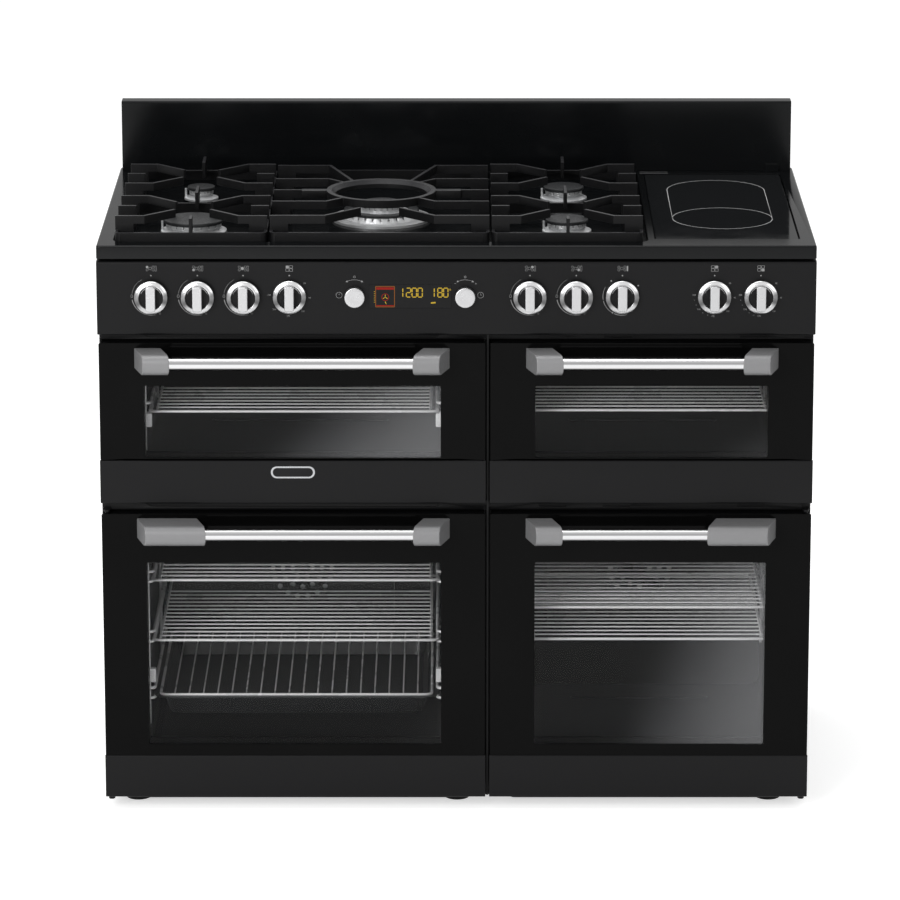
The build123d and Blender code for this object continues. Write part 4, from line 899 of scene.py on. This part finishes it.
class COOKER_OT_ovens(bpy.types.Operator):
    """Dress the cavities, seals, fan covers, fans, elements, gas pipe, stems and feet"""
    bl_idname = "cooker.ovens"
    bl_label = "Ovens and inner parts"

    def execute(self, context):
        made = finishes(context)
        sizes = context.scene.cooker_sizes
        dressed("oven_cavities", "grey_enamel", made["oven"], sizes.edge)
        dressed("fan_covers", "grey_enamel", made["oven"], sizes.edge * 0.5)
        dressed("door_seals", "seal_rubber", made["rubber"], sizes.edge)
        self.floor_ribs(made["oven"])
        for side in ("left", "right"):
            dressed("fan_lower_" + side, "galvanised", made["fan"], sizes.edge * 0.4)
        coated("heating_elements", made["element"])
        coated("gas_rail", made["steel"])
        coated("levelling_feet", made["plastic"])
        for name in GAS_KNOBS:
            coated("gas_stem_" + name, made["steel"])
        return {"FINISHED"}

    def floor_ribs(self, finish):
        """Press one long rib into the floor of each oven that shows its floor."""
        shape = bmesh.new()
        y, deep, corner = 117 * MM, 9 * MM, 4.4 * MM
        for oven, floor_z, width in (("upper_left", 530, 285), ("upper_right", 530, 240),
                                     ("lower_right", 60, 226)):
            x, half = oven_middle(oven), width / 2 * MM
            prism(shape, rounded(x - half, x + half, y, y + deep, corner),
                  facing_up(floor_z * MM), -0.5 * MM, 2.4 * MM)
        ribs = eased(shape, "oven_floor_ribs", 1.1 * MM, 3)
        piece("oven_floor_ribs", ribs, "root", "grey_enamel", finish)


# Wire racks


# How far the tray's grid stands over its flange
GRID_RISE = 6 * MM


class COOKER_OT_racks(bpy.types.Operator):
    """Grow the wire shelves, the ladders and the roasting tray's grid from bent wire"""
    bl_idname = "cooker.racks"
    bl_label = "Wire racks"

    def execute(self, context):
        finish = finishes(context)["rack"]
        sizes = context.scene.cooker_sizes
        for node in sorted(frame["nodes"]):
            if node.startswith("shelf_") and node != "shelf_supports":
                self.shelf(sizes, finish, node)
        self.ladders(finish)
        self.tray_pan(finishes(context)["oven"])
        self.tray_grid(sizes, finish)
        return {"FINISHED"}

    def shelf(self, sizes, finish, node):
        """A shelf: a closed frame bar, two inner rods and cross wires lying on them."""
        low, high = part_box(node)
        bar, wire, pitch = sizes.rail, sizes.wire, sizes.wire_pitch
        level = low.z + bar
        x0, x1 = low.x + bar, high.x - bar
        y0, y1 = low.y + bar * 1.16, high.y - bar * 1.16
        rod = 11 * MM
        parts = [wires(rack_frame(x0, x1, y0, y1, level), bar, finish, 9 * MM),
                 wires([(x0 + rod, y0, level), (x0 + rod, y1, level)], bar * 0.9, finish,
                       count=2, step=(x1 - x0 - rod * 2, 0, 0)),
                 wires([(x0 + rod - bar, y0 + pitch, level + wire),
                        (x1 - rod + bar, y0 + pitch, level + wire)], wire, finish,
                       count=sizes.wire_count, step=(0, pitch, 0))]
        piece(node + "_wires", joined(node, parts), node, "chromed_wire", finish,
              replaces=[node])

    def ladders(self, finish):
        """Two ladders per oven: bent rails on upright wires, with a catch on the front wires."""
        wire = 2.5 * MM
        stand_off = 11 * MM
        parts = []
        shape = bmesh.new()
        for oven in OVENS:
            near, far, reach, rails, low_z, high_z, catch_z = ladder_places(oven)
            for side in (-1, 1):
                wall = oven_middle(oven) + side * (reach - wire)
                rail = oven_middle(oven) + side * (reach - stand_off)
                parts += [wires([(wall, y, low_z), (wall, y, high_z)], wire, finish)
                          for y in (near, far)]
                parts += [wires([(wall, near, z), (rail, near, z), (rail, far, z),
                                 (wall, far, z)], wire, finish, 7 * MM) for z in rails]
                x0, x1 = sorted((wall, wall - side * stand_off))
                outline = rounded(x0, x1, catch_z - 11 * MM, catch_z + 11 * MM, 2 * MM)
                prism(shape, outline, facing_front(0, near + 6 * MM, 0), 0, 12 * MM)
        piece("shelf_ladders", joined("shelf_ladders", parts), "root", "chromed_wire", finish,
              replaces=["shelf_supports"])
        piece("ladder_catches", eased(shape, "ladder_catches", 0.8 * MM), "root", "chromed_wire",
              finish)

    def tray_pan(self, finish):
        """The roasting tray: a deep pressed pan with a rolled flange."""
        low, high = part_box("roasting_tray")
        top = high.z - GRID_RISE
        # Rings from the flange's inner edge round its outside, under the floor and up the inside:
        # inset from the flange, drop and corner radius, all in millimetres
        rings = ((0, 0, 24), (0, -1.6, 24), (14.5, -1.6, 22), (24, -33, 18), (28, -33.5, 16),
                 (28, -32, 15), (25.5, -31.5, 17), (17.5, 0, 21))
        floor = 4
        shape = bmesh.new()
        loops = []
        for inset, drop, corner in rings:
            step = inset * MM
            outline = rounded(low.x + step, high.x - step, low.y + step, high.y - step,
                              corner * MM, 8)
            loops.append([shape.verts.new((x, y, top + drop * MM)) for x, y in outline])
        for n, near in enumerate(loops):
            if n != floor:
                walled(shape, near, loops[(n + 1) % len(loops)])
        shape.faces.new(loops[floor][::-1])
        shape.faces.new(loops[floor + 1])
        piece("roasting_tray_pan", eased(shape, "roasting_tray_pan", 0.5 * MM), "roasting_tray",
              "grey_enamel", finish, replaces=["roasting_tray"])

    def tray_grid(self, sizes, finish):
        """The tray's wire grid: a frame bar and cross wires from front to back."""
        low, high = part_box("roasting_tray")
        bar, wire, count = sizes.rail, sizes.wire, sizes.grid_count
        x0, x1 = low.x + 10.88 * MM, high.x - 10.88 * MM
        y0, y1 = low.y + 8 * MM, high.y - 8 * MM
        level = high.z - GRID_RISE + bar
        pitch = (x1 - x0) / (count + 1)
        parts = [wires(rack_frame(x0, x1, y0, y1, level), bar, finish, 10 * MM),
                 wires([(x0 + pitch, y0, level + wire), (x0 + pitch, y1, level + wire)], wire,
                       finish, count=count, step=(pitch, 0, 0))]
        piece("roasting_tray_grid", joined("roasting_tray_grid", parts), "roasting_tray",
              "chromed_wire", finish)


def rack_frame(x0, x1, y0, y1, level):
    """The path of a rack's closed frame bar, from the middle of its left side."""
    half_y = (y0 + y1) / 2
    return [(x0, half_y, level), (x0, y0, level), (x1, y0, level), (x1, y1, level),
            (x0, y1, level), (x0, half_y, level)]


def oven_middle(oven):
    """The X of an oven's middle, from the shelf that stands in it."""
    return middle("shelf_" + oven).x


def ladder_places(oven):
    """An oven's ladder wires, from its shelves: near and far Y, reach, rails, ends and catch."""
    shelves = [node for node in frame["nodes"] if node.startswith("shelf_" + oven)]
    levels = sorted(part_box(node)[0].z + 3 * MM for node in shelves)
    if oven == "lower_left":
        levels.insert(0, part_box("roasting_tray")[1].z - 3 * MM)
    low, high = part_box("shelf_supports")
    shelf_low, shelf_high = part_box("shelf_" + oven)
    reach = (shelf_high.x - shelf_low.x) / 2 + 8 * MM
    rails = [level + rise for level in levels for rise in (-5.8 * MM, 10.2 * MM)]
    catch_z = 614 * MM if oven.startswith("upper") else 200 * MM
    low_z = min(levels + [catch_z]) - 48 * MM
    high_z = max(levels) + 40 * MM
    return low.y + 6 * MM, high.y - 2.5 * MM, reach, rails, low_z, high_z, catch_z


# Doors


# How far the window's painted reflection reaches across each pane
WINDOW_PAINTED_SHEEN = {"upper_left": 1.0, "upper_right": 0.5, "lower_left": 0.42, "lower_right": 1.0}
# How far each window stays off its trim and off the door's top edge
WINDOW_EDGES = {"upper": (4.5 * MM, 67.5 * MM), "lower": (18.5 * MM, 78 * MM)}
# Widths of a handle's end blocks: the wide one is on the lower doors' hinge side
WIDE_BLOCK, NARROW_BLOCK = 93 * MM, 41 * MM


class COOKER_OT_doors(bpy.types.Operator):
    """Glaze the four doors and fit their trims, liners, handles and bare plate"""
    bl_idname = "cooker.doors"
    bl_label = "Doors"

    def execute(self, context):
        made = finishes(context)
        sizes = context.scene.cooker_sizes
        for oven in OVENS:
            self.panes(sizes, made, oven)
            for part in ("door_liner_", "door_trim_"):
                dressed(part + oven, "black_paint", made["paint"], sizes.edge)
            self.handle(sizes.tube, made, oven)
        self.plate(made)
        return {"FINISHED"}

    def panes(self, sizes, made, oven):
        """The outer pane with its black print round a smoked window with a painted reflection, and
        the clear inner pane.
        """
        node, body = "door_glass_" + oven, "door_" + oven
        low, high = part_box(node)
        trim_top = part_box("door_trim_" + oven)[1].z
        half = (sizes.left_window if oven.endswith("left") else sizes.right_window) / 2
        rise, drop = WINDOW_EDGES[oven.split("_")[0]]
        centre = (low.x + high.x) / 2
        window = (centre - half, centre + half, trim_top + rise, high.z - drop)
        outer = pane((low.x, high.x, trim_top, high.z), window, low.y, low.y + sizes.glass,
                     sizes.window_corner, WINDOW_PAINTED_SHEEN[oven])
        piece(body + "_outer_pane", eased(outer, node + "_outer", 0.5 * MM), body, "black_glass",
              made["black_glass"], made["window"], replaces=[node])
        lap = 15 * MM
        around = (window[0] - lap, window[1] + lap, window[2] - lap, window[3] + lap)
        inner = pane(around, window, high.y - sizes.glass, high.y, sizes.window_corner, 0)
        piece(body + "_inner_pane", eased(inner, node + "_inner", 0.4 * MM), body, "black_glass",
              made["black_glass"], made["inner_glass"])

    def handle(self, radius, made, oven):
        """A polished tube between two skewed end blocks with rounded noses."""
        node, body = "door_handle_" + oven, "door_" + oven
        low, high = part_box(node)
        front, back = low.y, high.y
        skew, nose = 16 * MM, 12.5 * MM
        left_width = WIDE_BLOCK if oven == "lower_left" else NARROW_BLOCK
        right_width = WIDE_BLOCK if oven == "lower_right" else NARROW_BLOCK
        section = [(back, low.z), (back, high.z),
                   *arc(front + nose, high.z - nose, nose, 90, 180, 6),
                   *arc(front + nose, low.z + nose, nose, 180, 270, 6)]
        shape = bmesh.new()
        for end, width, inward in ((low.x, left_width, 1), (high.x, right_width, -1)):
            near, far = [[shape.verts.new((x + inward * skew * (back - y) / (back - front), y, z))
                          for y, z in section] for x in (end, end + inward * width)]
            shape.faces.new(near)
            shape.faces.new(far[::-1])
            walled(shape, near, far)
        piece(body + "_handle_blocks", eased(shape, node + "_blocks", 1.3 * MM, 3, 30), body,
              "handle_satin", made["block"], replaces=[node])
        lap, rim, lift = 4 * MM, 0.6 * MM, 1.2 * MM
        start = low.x + left_width + skew - lap
        run = high.x - right_width - skew + lap - start
        plane = along_x(start, front + radius + lift, (low.z + high.z) / 2 + lift)
        profile = [(0, 0), (radius - rim, 0), (radius, rim), (radius, run - rim),
                   (radius - rim, run), (0, run)]
        shape = bmesh.new()
        turned(shape, profile, plane, 64)
        piece(body + "_handle_tube", shaded(shape, node + "_tube"), body, "handle_satin",
              made["tube"])

    def plate(self, made):
        """A bare satin plate with a dark face on the upper left door's trim."""
        low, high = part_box("door_trim_upper_left")
        x, z = (low.x + high.x) / 2, low.z + 50 * MM
        for name, half, rise, lift, finish in (
                ("bare_door_plate", 34 * MM, 9.5 * MM, 0.6 * MM, "badge"),
                ("bare_door_plate_face", 31 * MM, 7 * MM, 0.75 * MM, "dish")):
            shape = bmesh.new()
            outline = rounded(x - half, x + half, z - rise, z + rise, rise * 0.98, 12)
            prism(shape, outline, facing_front(0, low.y + 0.1 * MM, 0), -0.1 * MM, lift)
            piece(name, eased(shape, name, 0.2 * MM), "door_upper_left", "handle_satin",
                  made[finish])


def pane(around, window, front, back, window_corner, painted_sheen):
    """A sheet of glass whose front and back faces carry the window as faces of their own."""
    shape = bmesh.new()
    layer = shape.loops.layers.uv.new("window")
    x0, x1, z0, z1 = window
    rims = []
    for y in (front, back):
        rim, hole = [[shape.verts.new((x, y, z)) for x, z in rounded(*box, corner)]
                     for box, corner in ((around, 2.5 * MM), (window, window_corner))]
        walled(shape, rim, hole)
        glazed = shape.faces.new(hole)
        glazed.material_index = 1
        for loop in glazed.loops:
            # The window's UV sets how far its painted reflection reaches across the pane
            x, _, z = loop.vert.co
            loop[layer].uv = (painted_sheen * (x - x0) / (x1 - x0), (z - z0) / (z1 - z0))
        rims.append(rim)
    walled(shape, *rims)
    return shape


# Knobs


class COOKER_OT_knobs(bpy.types.Operator):
    """Turn the control knobs and the timer knobs"""
    bl_idname = "cooker.knobs"
    bl_label = "Knobs"

    def execute(self, context):
        made = finishes(context)
        for name in GAS_KNOBS:
            self.knob(made, "gas_knob_" + name)
        for name in ROTARY_KNOBS:
            self.knob(made, "knob_" + name)
        for name in TIMER_KNOBS:
            self.timer(made, "timer_knob_" + name)
        return {"FINISHED"}

    def knob(self, made, node):
        """A dished ring round a dark floor, with a grip bar across it and a painted highlight in
        the dish.
        """
        low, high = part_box(node)
        x, _, z = (low + high) / 2
        radius = (high.x - low.x) / 2
        # Heights over the knob's back: the grip's top, the ring's lip and the dish's floor
        rise, ring, floor = 21 * MM, 10 * MM, 6 * MM
        dish = 18.5 * MM
        base = low.y + rise
        plane = facing_front(x, base, z)
        body = frame["nodes"][node]["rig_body"]
        # Painted highlight: two bright tapering arcs at the top of the dish, where its wall catches
        # the light
        painted_dish_highlight = bmesh.new()
        low_face = facing_front(x, base - floor - 0.1 * MM, z)
        for start, end in ((160, 95), (20, 85)):
            strip(painted_dish_highlight, arc(0, 0, 16.4 * MM, start, end, 20), 0.2 * MM, low_face,
                  end_width=1.1 * MM)
        piece(node + "_bead", inked(painted_dish_highlight, node + "_bead", (0, 0.5 * MM, 0)), body, "knob_metal",
              made["grip"])
        shape = bmesh.new()
        profile = [(0, 0)] if high.y <= base + 1 * MM else shaft(base - high.y)
        # From the back's edge, up the outside, over the lip and into the dish
        profile += [(radius - 2 * MM, 0), (radius - 0.5 * MM, 0.5 * MM), (radius, 2 * MM),
                    (radius, ring - 3 * MM), (radius - 0.4 * MM, ring - 2 * MM),
                    (radius - 1.3 * MM, ring - 1.2 * MM), (dish + 1.6 * MM, ring - 0.1 * MM),
                    (dish + 0.9 * MM, ring), (dish + 0.3 * MM, ring - 0.3 * MM),
                    (dish, ring - 1 * MM)]
        turned(shape, profile, plane, 128)
        turned(shape, [(dish, ring - 1 * MM), (dish, floor), (dish - 0.8 * MM, floor - 0.3 * MM),
                       (0, floor - 0.3 * MM)], plane, 128, 1)
        piece(node + "_ring", shaded(shape, node + "_ring", 40), body, "knob_metal",
              made["chrome"], made["dish"], replaces=[node])
        grip = bmesh.new()
        half, reach = 7.25 * MM, 19.5 * MM
        swing = math.degrees(math.asin(half / reach))
        outline = [point for middle_turn in (90, 270)
                   for point in arc(0, 0, reach, middle_turn - swing, middle_turn + swing, 10)]
        prism(grip, outline, plane, floor - 0.2 * MM, rise)
        piece(node + "_grip", eased(grip, node + "_grip", 1.5 * MM, 4), body, "knob_metal",
              made["grip"])

    def timer(self, made, node):
        """A plain turned disc with a shallow dished face."""
        low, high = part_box(node)
        x, _, z = (low + high) / 2
        radius = (high.x - low.x) / 2
        depth, rim = 12 * MM, 1.6 * MM
        base = low.y + depth
        profile = shaft(base - high.y) + [(radius - 1 * MM, 0), (radius, 1 * MM),
                                          (radius, depth - rim)]
        profile += arc(radius - rim, depth - rim, rim, 15, 90, 5)
        profile += [(radius * 0.5, depth - 0.25 * MM), (0, depth - 0.35 * MM)]
        shape = bmesh.new()
        turned(shape, profile, facing_front(x, base, z))
        piece(node + "_disc", shaded(shape, node + "_disc", 40), frame["nodes"][node]["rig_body"],
              "knob_metal", made["grip"], replaces=[node])


def shaft(end):
    """The profile of a knob's shaft, from its end to the knob's back."""
    return [(0, end), (4 * MM, end), (4 * MM, 0)]


# Printed marks and display


# All that is drawn on an ink plane is measured in millimetres
FINE_LINE = 0.5
MARKS_RADIUS = 29.6
FAN_SIGN = (23.9, -1.3)


def ink_plane(x, y, z):
    """A plane that faces the user and is measured in millimetres."""
    return facing_front(x, y, z) @ Matrix.Scale(MM, 4)


def on_ring(radius, degrees):
    """The point at a radius and a turn round the plane's middle."""
    return radius * math.cos(math.radians(degrees)), radius * math.sin(math.radians(degrees))


class COOKER_OT_panel_print(bpy.types.Operator):
    """Print the control marks round the knobs: dots, arcs, flames, plain numbers and signs"""
    bl_idname = "cooker.panel_print"
    bl_label = "Panel print"

    def execute(self, context):
        lift = context.scene.cooker_sizes.print_lift
        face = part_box("control_panel")[0].y - lift
        shape = bmesh.new()
        for name in (*GAS_KNOBS, *ROTARY_KNOBS):
            knob = middle(("gas_knob_" if name in GAS_KNOBS else "knob_") + name)
            plane = ink_plane(knob.x, face, knob.z)
            dot(shape, plane, 0, 32.6, 1.1)
            sign_plane = plane @ Matrix.Translation((0, 43.7, 0))
            if name.endswith("_oven"):
                self.oven_marks(shape, plane, name)
                self.oven_sign(shape, sign_plane, name)
            else:
                marks = self.zone_marks if name == "ceramic_zone" else self.gas_marks
                marks(shape, plane)
                self.hob_sign(shape, sign_plane, name)
        for name in TIMER_KNOBS:
            knob = middle("timer_knob_" + name)
            self.timer_marks(shape, ink_plane(knob.x, face, knob.z), name)
        piece("panel_print", inked(shape, "panel_print", (0, lift, 0)), "root", "black_enamel",
              finishes(context)["ink"])
        return {"FINISHED"}

    def gas_marks(self, shape, plane):
        """High flame, a tapering arc and low flame."""
        radius = MARKS_RADIUS
        strip(shape, arc(0, 0, radius, 118, 171, 24), 0.3, plane, end_width=0.5)
        flame(shape, plane, -radius, 0.5, 2.4)
        strip(shape, arc(0, 0, radius, 190, 284, 40), 1.3, plane, end_width=0.3)
        flame(shape, plane, *on_ring(radius, 296), 1.5)

    def zone_marks(self, shape, plane):
        """Tapering arcs and three dots for the ceramic zone's power."""
        radius = MARKS_RADIUS
        for start, end, first, last in ((150, 190, 0.5, 1.0), (194, 238, 0.9, 0.6),
                                        (246, 284, 1.1, 0.5)):
            strip(shape, arc(0, 0, radius, start, end, 20), first, plane, end_width=last)
        for turn in (35, 125, 240):
            dot(shape, plane, *on_ring(radius, turn), 1.2)

    def oven_marks(self, shape, plane, name):
        """Plain numbers round the knob, with dots between the last ones but for the grill's."""
        for step in range(16):
            place = on_ring(31, 41 - step * 15)
            if step % 3 == 0:
                words(shape, str(50 + 40 * step // 3), *place, 3.4, plane)
            elif name != "grill_oven" and step > 9:
                dot(shape, plane, *place, 0.5)

    def timer_marks(self, shape, plane, name):
        """An arc with an arrow head at each end, and a small round sign beside the knob."""
        radius = 26
        strip(shape, arc(0, 0, radius, 66, 114, 24), FINE_LINE, plane)
        for turn, tip in ((66, 59), (114, 121)):
            patch(shape, [on_ring(radius, tip), on_ring(radius + 1.6, turn),
                          on_ring(radius - 1.6, turn)], plane)
        x, z = (-23.5 if name == "left" else 23.5), 2
        hoop(shape, x, z, 4.6, FINE_LINE, plane, 32)
        lines = [((x, z + 2.6), (x, z))]
        if name == "right":
            lines += [((x, z), (x + 2.2, z)), ((-16.5, 20), (-13.9, 20)), ((15, 20), (17.6, 20)),
                      ((16.3, 18.7), (16.3, 21.3))]
        for line in lines:
            strip(shape, line, FINE_LINE, plane)
        hoop(shape, 0, 30.5, 1.5, FINE_LINE, plane, 16)

    def hob_sign(self, shape, plane, chosen):
        """The hob's layout as small rings and a bar, with the chosen place filled."""
        for name, x, z, radius in (("rear_left", -5.6, 2.3, 1.7), ("front_left", -5.6, -2.3, 1.7),
                                   ("wok", -1, 0, 2.1), ("rear_right", 3.6, 2.3, 1.7),
                                   ("front_right", 3.6, -2.3, 1.7)):
            if name == chosen:
                dot(shape, plane, x, z, radius + 0.3)
            else:
                hoop(shape, x, z, radius, 0.35, plane)
        bar = rounded(6.4, 8.6, -4.2, 4.2, 1, 4)
        if chosen == "ceramic_zone":
            patch(shape, bar, plane)
        else:
            strip(shape, bar, 0.35, plane, True)

    def oven_sign(self, shape, plane, name):
        """The four ovens as a small window of panes, with the chosen pane filled."""
        chosen = {"grill_oven": (0, 1), "upper_right_oven": (1, 1), "lower_right_oven": (1, 0)}
        for column, sides in enumerate(((-5.2, -0.4), (0.4, 5.2))):
            for row, ends in enumerate(((-4.4, -0.2), (0.6, 4.4))):
                outline = rounded(*sides, *ends, 0.6, 3)
                if (column, row) == chosen[name]:
                    patch(shape, outline, plane)
                else:
                    strip(shape, outline, FINE_LINE, plane, True)


def flame(shape, plane, x, z, size):
    """Add a small flame outline: a pointed drop."""
    half = [(0, 1.3), (0.45, 0.5), (0.7, -0.1), (0.5, -0.75), (0, -1)]
    points = half + [(-across, up) for across, up in half[3:0:-1]]
    strip(shape, [(x + across * size, z + up * size) for across, up in points], size * 0.22,
          plane, True)


def words(shape, text, x, z, size, plane):
    """Add plain numbers in ink, centred on a place."""
    curve = bpy.data.curves.new("number", "FONT")
    curve.body = text
    curve.size = size
    curve.align_x = "CENTER"
    curve.align_y = "CENTER"
    curve.resolution_u = 3
    mesh = evaluated(linked("number", curve))
    mesh.transform(plane @ Matrix.Translation((x, z, 0)))
    shape.from_mesh(mesh)
    bpy.data.meshes.remove(mesh)


class COOKER_OT_display(bpy.types.Operator):
    """Light the display: plain clock and temperature digits, a fan sign and level marks"""
    bl_idname = "cooker.display"
    bl_label = "Display"

    def execute(self, context):
        made = finishes(context)
        lift = context.scene.cooker_sizes.print_lift
        dressed("display_module", "display_window", made["display"], 0.3 * MM)
        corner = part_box("display_module")[0]
        plane = ink_plane(corner.x + 6 * MM, corner.y - lift, middle("timer_knob_left").z)
        for name, draw, finish in (("display_digits", self.clock, "amber"),
                                   ("display_symbols", self.symbols, "red"),
                                   ("display_outline", self.outline, "orange")):
            shape = bmesh.new()
            draw(shape, plane)
            piece(name, inked(shape, name, (0, lift, 0)), "root", "display_window", made[finish])
        return {"FINISHED"}

    def clock(self, shape, plane):
        """The clock, the temperature with its degree ring, the level marks and the fan."""
        self.digits(shape, plane, "12:00", 50.7, 6, 14)
        self.digits(shape, plane, "180", 98.8, 6, 14)
        hoop(shape, 122.8, 10.6, 1.1, FINE_LINE, plane, 16)
        strip(shape, [(93.7, -10.4), (100.8, -9.6)], 2.2, plane)
        for level in range(6):
            strip(shape, [(6.6, level * 3.3 - 9), (8.2, level * 3.3 - 9)], 0.8, plane)
        x, z = FAN_SIGN
        for turn in (90, 210, 330):
            across, up = on_ring(4, turn)
            strip(shape, [(x, z), (x + across, z + up)], FINE_LINE, plane, end_width=1.3)
        strip(shape, [(x, z - 7), (x + 1.5, z - 11)], 1.6, plane, end_width=FINE_LINE)

    def symbols(self, shape, plane):
        """The ring round the fan and the bars over and under it."""
        hoop(shape, *FAN_SIGN, 5.4, 0.9, plane, 40)
        for z, width in ((12.4, 3.6), (-14.6, 1.6)):
            strip(shape, [(10.2, z), (37, z)], width, plane)

    def outline(self, shape, plane):
        """The line round the symbols."""
        strip(shape, rounded(9.2, 38, -16.4, 15.6, 0.6, 3), 1, plane, True)

    def digits(self, shape, plane, text, x, z, height):
        """Seven segment digits of a height, starting at a place."""
        lit = {"0": "abcdef", "1": "fe", "2": "abged", "8": "abcdefg"}
        half, wide, bar = height / 2, height * 0.48, height * 0.11
        gap = bar * 0.45
        places = {"a": ((gap, height), (wide - gap, height)),
                  "b": ((wide, half + gap), (wide, height - gap)),
                  "c": ((wide, gap), (wide, half - gap)),
                  "d": ((gap, 0), (wide - gap, 0)),
                  "e": ((0, gap), (0, half - gap)),
                  "f": ((0, half + gap), (0, height - gap)),
                  "g": ((gap, half), (wide - gap, half))}
        for sign in text:
            if sign == ":":
                for z_dot in (z - half * 0.4, z + half * 0.4):
                    dot(shape, plane, x - wide * 0.16, z_dot, bar * 0.5)
                continue
            for segment in lit[sign]:
                strip(shape, [(x + a, z - half + b) for a, b in places[segment]], bar, plane)
            x += wide * (0.8 if sign == "1" else 1.32)


# The stage


class COOKER_OT_stage(bpy.types.Operator):
    """Set the pale floor, the soft lights and the camera"""
    bl_idname = "cooker.stage"
    bl_label = "Stage"

    def execute(self, context):
        self.floor()
        self.world(context)
        self.lights()
        self.camera(context)
        context.scene.view_settings.view_transform = "Standard"
        return {"FINISHED"}

    def seen(self, tree):
        """Is this ray the camera's, or one that a mirror or glass passes on?"""
        path = add(tree, "ShaderNodeLightPath").outputs
        most = path["Is Camera Ray"]
        for ray in ("Is Glossy Ray", "Is Transmission Ray"):
            most = add(tree, "ShaderNodeMath", {0: most, 1: path[ray]},
                       operation="MAXIMUM").outputs[0]
        return most

    def floor(self):
        """A wide pale floor that looks white but keeps the cooker's shadow."""
        shape = bmesh.new()
        bmesh.ops.create_grid(shape, x_segments=1, y_segments=1, size=20)
        mesh = bpy.data.meshes.new("floor")
        shape.to_mesh(mesh)
        shape.free()
        material = bpy.data.materials.new("pale_floor")
        material.use_nodes = True
        tree = material.node_tree
        tree.nodes.clear()
        paper = add(tree, "ShaderNodeBsdfDiffuse", {"Color": tone("#f0f0f0")})
        white = add(tree, "ShaderNodeEmission", {"Color": (1, 1, 1, 1), "Strength": 0.58})
        both = add(tree, "ShaderNodeAddShader", {0: paper.outputs[0], 1: white.outputs[0]})
        choose = add(tree, "ShaderNodeMixShader", {0: self.seen(tree), 1: paper.outputs[0],
                                                   2: both.outputs[0]})
        add(tree, "ShaderNodeOutputMaterial", {"Surface": choose.outputs[0]})
        mesh.materials.append(material)
        linked("floor", mesh)

    def world(self, context):
        """A white surround for the eye and for mirrors, and a softer one as light."""
        world = bpy.data.worlds.new("studio")
        context.scene.world = world
        world.use_nodes = True
        tree = world.node_tree
        tree.nodes.clear()
        strength = add(tree, "ShaderNodeMapRange", {"Value": self.seen(tree), "To Min": 0.5,
                                                    "To Max": 1.0})
        ground = add(tree, "ShaderNodeBackground", {"Color": (1, 1, 1, 1),
                                                    "Strength": strength.outputs[0]})
        add(tree, "ShaderNodeOutputWorld", {"Surface": ground.outputs[0]})

    def lights(self):
        """A large key from the upper left, a weaker fill from the right and one over the hob."""
        aim = Vector((0, 0, 0.5))
        for name, place, size, power in (("key", (-3.0, -5.0, 2.6), 2.8, 210),
                                         ("fill", (4.2, -4.8, 2.8), 3.0, 50),
                                         ("top", (-0.6, 0.2, 4.4), 3.0, 100)):
            lamp = bpy.data.lights.new(name, "AREA")
            lamp.size = size
            lamp.energy = power
            item = linked(name, lamp)
            item.location = place
            item.rotation_euler = (aim - Vector(place)).to_track_quat("-Z", "Y").to_euler()

    def camera(self, context):
        """The photograph's view: a long lens before the cooker's middle, looking a little down."""
        lens = bpy.data.cameras.new("camera")
        lens.sensor_width = 36
        lens.lens = 203.44
        lens.shift_x = -0.0071
        lens.clip_end = 200
        item = linked("camera", lens)
        item.location = (0, -7.8501, 2.5713)
        item.rotation_euler = (math.radians(75.30), 0, 0)
        context.scene.camera = item


OPERATORS = (
    COOKER_OT_stage,
    COOKER_OT_sheet_metal,
    COOKER_OT_ovens,
    COOKER_OT_racks,
    COOKER_OT_hob,
    COOKER_OT_burners,
    COOKER_OT_pan_supports,
    COOKER_OT_doors,
    COOKER_OT_knobs,
    COOKER_OT_panel_print,
    COOKER_OT_display,
)


class COOKER_PT_pieces(bpy.types.Panel):
    """The cooker's pieces, sizes and colours"""
    bl_idname = "COOKER_PT_pieces"
    bl_label = "Range cooker"
    bl_space_type = "VIEW_3D"
    bl_region_type = "UI"
    bl_category = "Cooker"

    def draw(self, context):
        for operator in OPERATORS:
            self.layout.operator(operator.bl_idname)
        for group in (context.scene.cooker_sizes, context.scene.cooker_colours):
            for key in group.bl_rna.properties.keys():
                if key not in ("rna_type", "name"):
                    self.layout.prop(group, key)


CLASSES = (CookerColours, CookerSizes, *OPERATORS, COOKER_PT_pieces)


def register():
    for kind in CLASSES:
        bpy.utils.register_class(kind)
    bpy.types.Scene.cooker_colours = PointerProperty(type=CookerColours)
    bpy.types.Scene.cooker_sizes = PointerProperty(type=CookerSizes)


def unregister():
    del bpy.types.Scene.cooker_sizes
    del bpy.types.Scene.cooker_colours
    for kind in reversed(CLASSES):
        bpy.utils.unregister_class(kind)


def main():
    register()
    for operator in OPERATORS:
        group, name = operator.bl_idname.split(".")
        getattr(getattr(bpy.ops, group), name)()


if __name__ == "__main__":
    main()
